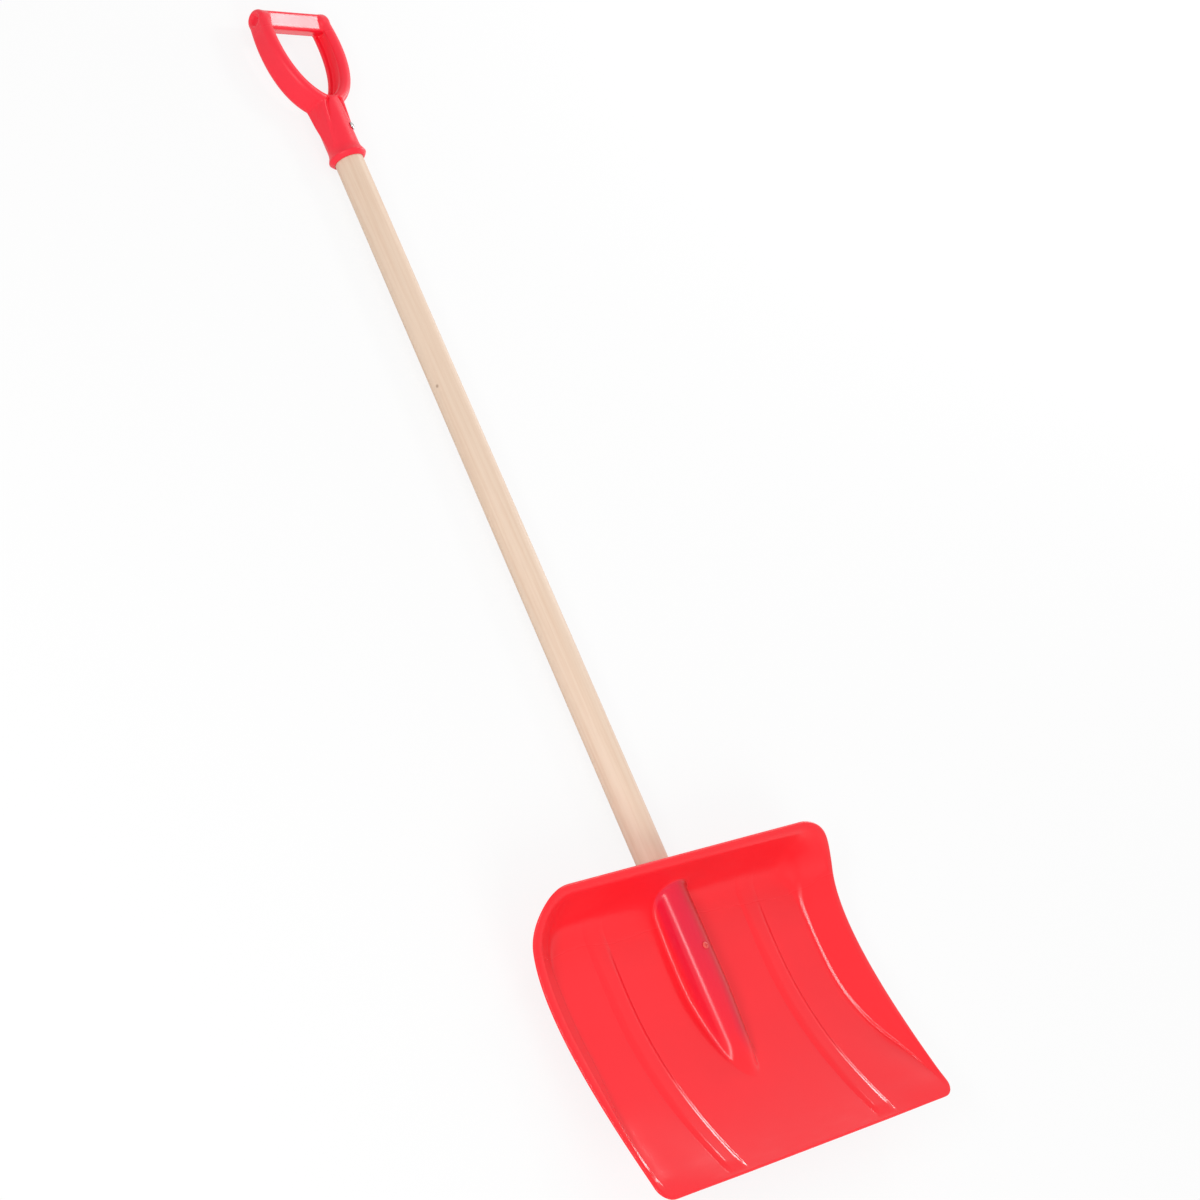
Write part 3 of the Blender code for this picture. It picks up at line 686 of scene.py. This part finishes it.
def shaft_profile(grow=0.0):
    """(radius, y) stations of the shaft from its lower end, grown for its sockets."""
    s = bpy.context.scene.shovel_shaft
    shoulder, end = COLLAR_Y + s.shoulder + grow, SHAFT_HIGH.y + grow
    full = TIP_Y + s.end_taper
    slim, low, top, tenon = (r + grow for r in (s.end_radius, s.low_radius, s.top_radius, s.tenon_radius))
    profile = [(slim - inset, TIP_Y - grow + up) for inset, up in SHAFT_TIP] + [(low, full)]
    profile += [(low, full + (LIP_Y - full) * k) for k in np.linspace(0, 1, HELD_STEPS)[1:]]
    profile += [(low + (top - low) * k, LIP_Y + (COLLAR_Y - LIP_Y) * k)
                for k in np.linspace(0, 1, SHAFT_STEPS)[1:]]
    return profile + [(top, shoulder), (tenon, shoulder), (tenon, end - TENON_CHAMFER),
                      (tenon - TENON_CHAMFER, end)]


def shaft_room(mat):
    """A cutter that leaves the shaft its clearance."""
    return turned("shaft room", shaft_profile(bpy.context.scene.shovel_shaft.clearance), mat)


def screw_seats():
    """(place, outward direction, head) of the blade's and the grip's screw."""
    scene = bpy.context.scene
    s = scene.shovel_screws
    front, side = Vector((0, 0, 1)), Vector((sin(s.grip_turn), 0, cos(s.grip_turn)))
    blade, grip = Vector((0, LIP_Y - s.blade_drop, AXIS_Z)), Vector((0, COLLAR_Y + s.grip_up, AXIS_Z))
    return [(blade + front * scene.shovel_blade.socket_radius, front, s.blade_head),
            (grip + side * scene.shovel_grip.socket_radius, side, s.grip_head)]


def screw_hole(which, mat):
    """A plain round cutter for a screw's shank."""
    s = bpy.context.scene.shovel_screws
    place, out, _ = screw_seats()[which]
    radius = s.shank / 2 + HOLE_ROOM
    return turned("screw hole", [(radius, -s.reach - HOLE_BELOW), (radius, HOLE_ABOVE)], mat, place, out)


# Grip: line of the arms, flats beside the socket, creases at the fork, and small roundings
ARM_ROOT, ARM_STEPS = (0.002, 0.0495), 161
ARM_LOWER_PULL, ARM_UPPER_PULL = (0.0265, 0.0565), (0.0385, 0.088)
ARM_LIP = ((0.0028, 0.0), (0.0013, 0.0004), (0.0004, 0.0013), (0.0, 0.0028))
CHEEK_LINE = ((0.0088, 0.0535), (0.0104, 0.034), (0.0112, 0.013))
CHEEK_THICK, CHEEK_DEEP, CHEEK_ROUND = (1.0, 0.72, 0.45), (1.0, 0.76, 0.40), 0.0022
CREASE_LINE = ((0.0050, 0.0520, 0.0109), (0.0073, 0.0490, 0.0105), (0.0083, 0.0440, 0.0097),
               (0.0090, 0.0390, 0.0091), (0.0097, 0.0340, 0.0084), (0.0103, 0.0285, 0.0077))
CREASE_SCALE, CREASE_SIZE = (1.3, 1.2, 1.0, 0.8, 0.6, 0.3), (0.0020, 0.0028, 0.0004)
GROOVE_ROUND, GROOVE_PAST = 0.0012, 6
DIMPLE_ROUND, DIMPLE_PAST = 0.0006, 0.002
BAR_STEPS, CROWN_STEPS = 9, 10
FLARE_START, FLARE_LONG, FOOT_WALL = 0.0035, 0.0085, 0.0014
BLEND_FACTOR, BLEND_ROUNDS = 0.5, 24


def grip_place(s):
    """Where the grip sits on the shaft."""
    return Matrix.Translation((0, COLLAR_Y, AXIS_Z)) @ Matrix.Rotation(s.turn, 4, "Y")


def grip_socket(s, mat):
    """The grip's flared collar and its socket with a domed crown."""
    crown = [(s.socket_radius * cos(a), s.socket_top - s.socket_radius / 2 * (1 - sin(a)))
             for a in np.linspace(0, pi / 2, CROWN_STEPS)]
    widening = s.collar_radius - s.socket_radius
    flare = [(s.socket_radius + widening * (1 - k)**2, FLARE_START + FLARE_LONG * k)
             for k in np.linspace(0, 1, CROWN_STEPS)]
    foot = [(bpy.context.scene.shovel_shaft.top_radius + FOOT_WALL, 0.0)]
    return turned("Grip", foot + flare + crown, mat, (0, 0, 0))


def grip_arm(s, side, mat):
    """(forms, cuts) of one arm with its cheek, end, crease, groove and sink mark."""
    along = np.linspace(0, 1, ARM_STEPS)
    path = bezier([ARM_ROOT, ARM_LOWER_PULL, ARM_UPPER_PULL, (s.bar_half, s.bar_up)], along)
    ways = np.gradient(path, axis=0)
    ways /= np.linalg.norm(ways, axis=1)[:, None]
    thick = (s.arm_root + (s.arm_thick - s.arm_root) * along) / s.arm_thick
    deep = 1 + (s.arm_end / s.arm_depth - 1) * along**2
    points = np.column_stack([side * path[:, 0], path[:, 1], 0 * along])
    out = np.column_stack([side * ways[:, 1], -ways[:, 0], 0 * along])
    inner = points - out * (s.arm_thick / 2 * thick)[:, None]
    inner = np.vstack([inner, inner[-1] + (inner[-1] - inner[-2]) * GROOVE_PAST])
    r, half, sink = s.arm_end / 2, s.arm_thick / 2, s.dimple / 2
    lip = [(r - inset, -half + up) for inset, up in ARM_LIP]
    disc = lip + [(a, -b) for a, b in lip[::-1]]
    dimple = [(sink - DIMPLE_ROUND, half - s.dimple_depth), (sink, half - DIMPLE_ROUND),
              (sink + DIMPLE_PAST, half + DIMPLE_PAST)]
    forms = [swept("arm", points, (s.arm_thick, s.arm_depth, s.arm_round), mat, thick, deep),
             swept("cheek", [(side * x, y, 0) for x, y in CHEEK_LINE],
                   (s.cheek, s.cheek_depth, CHEEK_ROUND), mat, CHEEK_THICK, CHEEK_DEEP),
             turned("arm end", disc, mat, points[-1], out[-1])]
    cuts = [swept("crease", [(side * x, y, z) for x, y, z in CREASE_LINE], CREASE_SIZE,
                  mat, CREASE_SCALE, CREASE_SCALE),
            swept("groove", inner, (2 * s.groove_depth, s.groove_width, GROOVE_ROUND),
                  mat, np.append(thick, 1.0), np.append(deep, deep[-1])),
            turned("dimple", dimple, mat, points[-1], out[-1])]
    return forms, cuts


def grip_bar(s, mat):
    """The crossbar, turned about its own length."""
    line = [(x, s.bar_up, 0) for x in np.linspace(-s.bar_half, s.bar_half, BAR_STEPS)]
    bar = swept("crossbar", line, (s.bar_height, s.bar_depth, s.bar_round), mat)
    middle = Matrix.Translation((0, s.bar_up, 0))
    bar.data.transform(middle @ Matrix.Rotation(s.bar_tilt, 4, "X") @ middle.inverted())
    return bar


# Materials: places in metres, roughness and gloss
# Where the socket's red is painted deeper: the wood seen through the plastic together with painted shade,
# darkest on the socket's right side
WOOD_OFF, WOOD_HEIGHT, WOOD_END = (0.0160, 0.0180), (-0.003, 0.003), (TIP_Y - 0.016, TIP_Y + 0.004)
WOOD_AND_SHADE_ACROSS, WOOD_AND_SHADE_ALONG, PAINTED_SHADE_ACROSS = (-0.008, 0.002), (TIP_Y, LIP_Y - 0.050), (-0.002, 0.008)
WORN_END = (BLADE_LOW.y + 0.045, BLADE_LOW.y)
MATT_TOP = (LIP_Y - 0.060, LIP_Y - 0.028)
BLADE_ROUGH, WORN_ROUGH, MATT_ROUGH, HUMP_ROUGH = (0.10, 0.17), 0.05, 0.22, 0.10
GRIP_ROUGH, ARM_ROUGH, ARM_FADE = (0.22, 0.28), 0.15, 0.006
GRIP_GLOSS, SINK_GLOSS, SINK_EDGE = 0.45, 0.10, (0.38, 0.52)
KNOT_PLACE, KNOT_SIZE = (-0.0114, 0.1475, AXIS_Z + 0.0022), (0.0005, 0.0018)


def new_material(name):
    """A material with its tree and its Principled shader."""
    mat = bpy.data.materials.new(name)
    mat.use_nodes = True
    return mat, mat.node_tree, mat.node_tree.nodes["Principled BSDF"]


def plug(shader, **links):
    """Join or fill the shader's inputs, named with underscores."""
    for key, value in links.items():
        fill(shader.inputs[key.replace("_", " ")], value)


def mixed(factor, a, b):
    """Mix two colours in the factor's tree."""
    a, b = (c if isinstance(c, bpy.types.NodeSocket) else (*c, 1.0) for c in (a, b))
    return node(factor.id_data, "ShaderNodeMix", {0: factor, 6: a, 7: b}, data_type="RGBA")[2]


def scaled(values, share):
    """A share of each value."""
    return tuple(v * share for v in values)


def maths(operation, *values):
    """One sum on up to three values, in the first one's tree."""
    return node(values[0].id_data, "ShaderNodeMath", dict(enumerate(values)), operation=operation)[0]


def ramp(value, low, high, to_low=0.0, to_high=1.0):
    """Map a value from one range to another, clamped."""
    return node(value.id_data, "ShaderNodeMapRange", {"Value": value, "From Min": low, "From Max": high,
                                                      "To Min": to_low, "To Max": to_high})[0]


def object_place(tree):
    """Object coordinates, whole and as x, y and z."""
    coords = node(tree, "ShaderNodeTexCoord")["Object"]
    return coords, *node(tree, "ShaderNodeSeparateXYZ", {"Vector": coords})


def distance(coords, point):
    """How far a place is from a point."""
    inputs = {0: coords, 1: point}
    return node(coords.id_data, "ShaderNodeVectorMath", inputs, operation="DISTANCE")["Value"]


def noise(tree, scale, detail=2.0, stretch=None):
    """Noise over the object's own coordinates, optionally stretched."""
    coords = node(tree, "ShaderNodeTexCoord")["Object"]
    if stretch:
        coords = node(tree, "ShaderNodeMapping", {"Vector": coords, "Scale": stretch})[0]
    return node(tree, "ShaderNodeTexNoise", {"Vector": coords, "Scale": scale, "Detail": detail})["Fac"]


def bump(height, deep, strength):
    """A normal from a height."""
    inputs = {"Height": height, "Distance": deep, "Strength": strength}
    return node(height.id_data, "ShaderNodeBump", inputs)[0]


def seen(tree):
    """1 where the camera sees a surface itself, in a reflection or through glass."""
    rays = node(tree, "ShaderNodeLightPath")
    mirrored = maths("MAXIMUM", rays["Is Glossy Ray"], rays["Is Transmission Ray"])
    return maths("MAXIMUM", rays["Is Camera Ray"], mirrored)


def blade_material(s):
    """Glossy red, deeper over the socket, partly the wood seen through the plastic and partly painted shade,
    darkest on the socket's right side and towards its top; duller at the top and the scraping edge.
    """
    mat, tree, shader = new_material("blade plastic")
    _, x, y, z = object_place(tree)
    cloud = noise(tree, 18.0, 3.0)
    red = mixed(ramp(cloud, 0.3, 0.7, 0.0, 0.25), s.red, scaled(s.red, 0.86))
    height = maths("SUBTRACT", z, AXIS_Z)
    off = maths("SQRT", maths("MULTIPLY_ADD", x, x, maths("MULTIPLY", height, height)))
    over = maths("MULTIPLY", ramp(off, *WOOD_OFF, 1.0, 0.0), ramp(height, *WOOD_HEIGHT))
    hump = maths("MULTIPLY", over, ramp(y, *WOOD_END))
    # Deeper red over the socket, partly the wood seen through the plastic and partly painted shade: full
    # strength on the right side and towards the top, with the painted-shade red on the right side
    depth = maths("MAXIMUM", ramp(x, *WOOD_AND_SHADE_ACROSS), ramp(y, *WOOD_AND_SHADE_ALONG, 0.35, 1.0))
    deep = mixed(ramp(x, *PAINTED_SHADE_ACROSS), s.red_wood_and_shade, s.red_painted_shade)
    red = mixed(maths("MULTIPLY", hump, depth), red, deep)
    scuff = noise(tree, 60.0, 4.0, (1.0, 6.0, 1.0))
    worn = maths("MULTIPLY", ramp(y, *WORN_END), ramp(scuff, 0.45, 0.7))
    matt = maths("MULTIPLY", ramp(y, *MATT_TOP), ramp(hump, 0.0, 1.0, 1.0, 0.0))
    rough = ramp(cloud, 0.25, 0.75, *BLADE_ROUGH)
    for part, amount in ((worn, WORN_ROUGH), (matt, MATT_ROUGH), (hump, HUMP_ROUGH)):
        rough = maths("MULTIPLY_ADD", part, amount, rough)
    plug(shader, Base_Color=red, Roughness=rough, Specular_IOR_Level=0.27, Coat_Weight=0.05,
         Coat_Roughness=0.06, Normal=bump(noise(tree, 900.0), 0.00002, 0.35))
    return mat


def grip_material(s):
    """Satin red, smoother along the crossbar, duller in the arms' sink marks."""
    mat, tree, shader = new_material("grip plastic")
    coords, _, y, _ = object_place(tree)
    mark = 0.0
    for side in (-1, 1):
        end = grip_place(s) @ Vector((side * (s.bar_half + s.arm_thick / 2), s.bar_up, 0))
        sink = ramp(distance(coords, end), *scaled(SINK_EDGE, s.dimple), 1.0, 0.0)
        mark = maths("ADD", sink, mark)
    cloud = noise(tree, 30.0, 3.0)
    red = mixed(ramp(cloud, 0.3, 0.7, 0.0, 0.3), s.red, scaled(s.red, 0.88))
    held = COLLAR_Y + s.bar_up - s.bar_height
    rough = maths("ADD", ramp(cloud, 0.25, 0.75, *GRIP_ROUGH),
                  ramp(y, held, held + ARM_FADE, ARM_ROUGH, 0.0))
    plug(shader, Base_Color=red, Roughness=rough, Specular_IOR_Level=GRIP_GLOSS,
         Normal=bump(noise(tree, 1400.0), 0.00001, 0.25))
    plug(shader, Specular_IOR_Level=ramp(mark, 0.0, 1.0, GRIP_GLOSS, SINK_GLOSS))
    return mat


def wood_material(s):
    """Pale planed wood: long grain streaks, a warm drift along the shaft and one tiny knot."""
    mat, tree, shader = new_material("pale wood")
    streak = noise(tree, 420.0, 4.0, (1.0, 0.018, 1.0))
    fine = noise(tree, 1500.0, 2.0, (1.0, 0.03, 1.0))
    drift = noise(tree, 14.0, 2.0, (1.0, 0.5, 1.0))
    lines = maths("ADD", ramp(streak, 0.42, 0.72, 0.0, 0.7), ramp(fine, 0.5, 0.8, 0.0, 0.3))
    wood = mixed(lines, s.pale, s.grain)
    wood = mixed(ramp(drift, 0.35, 0.65, 0.0, 0.35), wood, scaled(s.pale, 0.93))
    away = distance(object_place(tree)[0], KNOT_PLACE)
    wood = mixed(ramp(away, *KNOT_SIZE, 0.6, 0.0), wood, s.knot)
    plug(shader, Base_Color=wood, Roughness=ramp(streak, 0.3, 0.7, 0.50, 0.62),
         Normal=bump(lines, 0.00006, 0.5))
    return mat


def steel_material(s):
    """Zinc plating with fine turning marks; the blade's screw is lacquered."""
    mat, tree, shader = new_material("zinc steel")
    bare = ramp(object_place(tree)[2], LIP_Y, 0.0)
    cloud = noise(tree, 900.0, 3.0)
    zinc = mixed(ramp(cloud, 0.3, 0.7), s.zinc, scaled(s.zinc, 0.75))
    plug(shader, Base_Color=mixed(bare, s.lacquer, zinc), Metallic=bare,
         Roughness=ramp(cloud, 0.3, 0.7, 0.25, 0.42),
         Normal=bump(noise(tree, 3000.0), 0.00002, 0.3))
    return mat


# Operators


class SHOVEL_OT_blade(bpy.types.Operator):
    """Mould the scoop blade with its socket bored for the shaft"""
    bl_idname = "shovel.blade"
    bl_label = "Blade"

    def execute(self, context):
        s = context.scene.shovel_blade
        mat = blade_material(s)
        blade = mesh_object("Blade", *blade_shell(s))
        mouth, taper = LIP_Y - SOCKET_MOUTH, TIP_Y + context.scene.shovel_shaft.end_taper
        radius, slim = s.socket_radius - SOCKET_INSET, s.socket_slim - SOCKET_INSET
        tube = [(slim * sqrt(1 - sin(a)**NOSE_BLUNT), TIP_Y - s.nose * sin(a))
                for a in np.linspace(pi / 2, 0, NOSE_STEPS)]
        tube += [(radius, taper)] + [(radius - inset, mouth - back) for inset, back in MOUTH_ROUND]
        blade = combined(blade, [turned("socket", tube, mat)], "UNION")
        blade = combined(blade, [shaft_room(mat), screw_hole(0, mat)], "DIFFERENCE")
        finish_piece(blade, mat, ["blade"], sharp=40)
        return {"FINISHED"}


class SHOVEL_OT_shaft(bpy.types.Operator):
    """Turn the wooden shaft with its slim end and tenon"""
    bl_idname = "shovel.shaft"
    bl_label = "Shaft"

    def execute(self, context):
        mat = wood_material(context.scene.shovel_shaft)
        shaft = turned("Shaft", shaft_profile(), mat)
        shaft = combined(shaft, [screw_hole(0, mat), screw_hole(1, mat)], "DIFFERENCE")
        finish_piece(shaft, mat, ["shaft"], sharp=35)
        return {"FINISHED"}


class SHOVEL_OT_grip(bpy.types.Operator):
    """Mould the D-grip: collar, socket, two grooved arms and a crossbar"""
    bl_idname = "shovel.grip"
    bl_label = "Grip"

    def execute(self, context):
        s = context.scene.shovel_grip
        mat = grip_material(s)
        arms = [grip_arm(s, side, mat) for side in (-1, 1)]
        grip = combined(grip_socket(s, mat), arms[0][0] + arms[1][0], "UNION")
        grip = combined(grip, arms[0][1] + arms[1][1], "DIFFERENCE")
        grip = combined(grip, [grip_bar(s, mat)], "UNION")
        grip.data.transform(grip_place(s))
        grip = modified(grip, "REMESH", mode="VOXEL", voxel_size=s.voxel, adaptivity=0.0)
        grip = modified(grip, "SMOOTH", factor=BLEND_FACTOR, iterations=BLEND_ROUNDS)
        grip = combined(grip, [shaft_room(mat), screw_hole(1, mat)], "DIFFERENCE")
        finish_piece(grip, mat, ["d_handle"], sharp=50)
        return {"FINISHED"}


# Screw: (inset, height) stations under the crown, and the cross recess
SHANK_POINT, SEAT_ROUND, CROWN_LOW = (0.0004, 0.0006), ((0.0002, 0.0001), (0.0, 0.0003)), 0.4
HEAD_STEPS, RECESS_REACH, RECESS_SIZE = 9, 0.62, (0.0009, 0.0018, 0.0001)


class SHOVEL_OT_screws(bpy.types.Operator):
    """Drive the two pan-head screws"""
    bl_idname = "shovel.screws"
    bl_label = "Screws"

    def execute(self, context):
        s = context.scene.shovel_screws
        mat = steel_material(s)
        r, h, shank = s.grip_head / 2, s.head_height, s.shank / 2
        profile = [(shank - SHANK_POINT[0], -s.reach), (shank, -s.reach + SHANK_POINT[1]),
                   (shank, SEAT_ROUND[0][1])] + [(r - inset, up) for inset, up in SEAT_ROUND]
        profile += [(r * cos(a), h * (CROWN_LOW + (1 - CROWN_LOW) * sin(a)))
                    for a in np.linspace(0, pi / 2, HEAD_STEPS)]
        screw = turned("screw pattern", profile, mat, (0, 0, 0), (0, 0, 1), s.sides)
        for way in ((1, 0, 0), (0, 1, 0)):
            line = [Vector(way) * r * k + Vector((0, 0, h)) for k in (-RECESS_REACH, 0.0, RECESS_REACH)]
            screw = combined(screw, [swept("recess", line, RECESS_SIZE, mat)], "DIFFERENCE")
        places, ways, heads = zip(*screw_seats())
        screws = run_tree("screws", "Screws", places,
                          {"screw_out": [tuple(way) for way in ways],
                           "screw_size": [head / s.grip_head for head in heads]},
                          {"Screw": screw, "Material": mat})
        remove(screw)
        finish_piece(screws, mat, ["blade_screw", "handle_screw"], sharp=35)
        return {"FINISHED"}


# Stage: camera, floor, and the lights' places, aims, widths, heights and powers
CAMERA_PLACE, CAMERA_TURN, SENSOR = (-1.5807, -0.5781, 1.5825), (32.959, -36.767, -29.165), 36.0
FLOOR_HALF, FLOOR_BELOW, FLOOR_GLOW = 4.0, 0.0002, 0.85
LIGHTS = (("Key", (-1.34, -0.18, 0.92), (0, -0.33, 0.03), 0.70, 0.26, 8.0),
          ("Edge strip", (1.42, 0.38, 0.24), (0, -0.42, 0.04), 0.38, 0.34, 4.7),
          ("Back", (0.756, 0.578, 0.672), (0, 0.47, 0.015), 0.20, 0.20, 2.6),
          ("Front fill", (-0.4, -1.7, 1.2), (0, -0.3, 0), 1.2, 0.9, 12.0))


class SHOVEL_OT_stage(bpy.types.Operator):
    """Set the camera, the pale floor and the soft light"""
    bl_idname = "shovel.stage"
    bl_label = "Stage"

    def execute(self, context):
        scene = context.scene
        s = scene.shovel_stage
        view = bpy.data.cameras.new("Camera")
        view.lens = s.lens
        view.sensor_width = SENSOR
        camera = add_object("Camera", view)
        camera.location = CAMERA_PLACE
        camera.rotation_euler = [radians(a) for a in CAMERA_TURN]
        scene.camera = camera
        floor = self.floor(s)
        lights = [self.softbox(*light) for light in LIGHTS]
        lights[-1].visible_glossy = False
        self.sky(scene, s)
        scene.view_settings.view_transform = "Standard"
        return {"FINISHED"}

    def floor(self, s):
        """A wide floor that renders white where the light reaches it."""
        level = CAD_BOX[0].z - FLOOR_BELOW
        corners = [(x * FLOOR_HALF, y * FLOOR_HALF, level) for x, y in ((-1, -1), (1, -1), (1, 1), (-1, 1))]
        mesh = bpy.data.meshes.new("Floor")
        mesh.from_pydata(corners, [], [(0, 1, 2, 3)])
        floor = add_object("Floor", mesh)
        mat, tree, shader = new_material("pale floor")
        tone = mixed(noise(tree, 3.0), s.floor, scaled(s.floor, 0.985))
        plug(shader, Base_Color=tone, Roughness=0.9, Specular_IOR_Level=0.0)
        glow = node(tree, "ShaderNodeEmission", {"Color": (1, 1, 1, 1), "Strength": 1.0})
        mix = node(tree, "ShaderNodeMixShader", {0: maths("MULTIPLY", seen(tree), FLOOR_GLOW),
                                                 1: shader.outputs[0], 2: glow[0]})
        tree.links.new(mix[0], tree.nodes["Material Output"].inputs["Surface"])
        mesh.materials.append(mat)
        return floor

    def softbox(self, name, place, target, wide, high, power):
        """A soft rectangular light aimed at a point."""
        light = bpy.data.lights.new(name, "AREA")
        light.shape = "RECTANGLE"
        light.size, light.size_y, light.energy = wide, high, power
        box = add_object(name, light)
        box.location = place
        box.rotation_euler = (Vector(target) - Vector(place)).to_track_quat("-Z", "Y").to_euler()
        return box

    def sky(self, scene, s):
        """Even white light, full white only where it is seen or mirrored."""
        world = bpy.data.worlds.new("Studio")
        scene.world = world
        world.use_nodes = True
        tree = world.node_tree
        back = tree.nodes["Background"]
        plug(back, Color=(1, 1, 1, 1), Strength=ramp(seen(tree), 0.0, 1.0, s.sky, 1.0))


class SHOVEL_PT_panel(bpy.types.Panel):
    """Sidebar panel that lists the shovel's pieces"""
    bl_idname = "SHOVEL_PT_panel"
    bl_label = "Snow shovel"
    bl_space_type = "VIEW_3D"
    bl_region_type = "UI"
    bl_category = "Shovel"

    def draw(self, context):
        for operator in OPERATORS:
            self.layout.operator(operator.bl_idname)


OPERATORS = (SHOVEL_OT_blade, SHOVEL_OT_shaft, SHOVEL_OT_grip, SHOVEL_OT_screws, SHOVEL_OT_stage)
SETTINGS = {"shovel_blade": ShovelBladeSettings, "shovel_shaft": ShovelShaftSettings,
            "shovel_grip": ShovelGripSettings, "shovel_screws": ShovelScrewSettings,
            "shovel_stage": ShovelStageSettings}


def register():
    """Make the settings, operators and panel known."""
    for cls in (*SETTINGS.values(), *OPERATORS, SHOVEL_PT_panel):
        bpy.utils.register_class(cls)
    for name, cls in SETTINGS.items():
        setattr(bpy.types.Scene, name, PointerProperty(type=cls))


def unregister():
    """Take them away again."""
    for name in SETTINGS:
        delattr(bpy.types.Scene, name)
    for cls in (SHOVEL_PT_panel, *reversed(OPERATORS), *reversed(list(SETTINGS.values()))):
        bpy.utils.unregister_class(cls)


def main():
    """Build every piece and the stage."""
    register()
    bpy.ops.shovel.blade()
    bpy.ops.shovel.shaft()
    bpy.ops.shovel.grip()
    bpy.ops.shovel.screws()
    bpy.ops.shovel.stage()


if __name__ == "__main__":
    main()
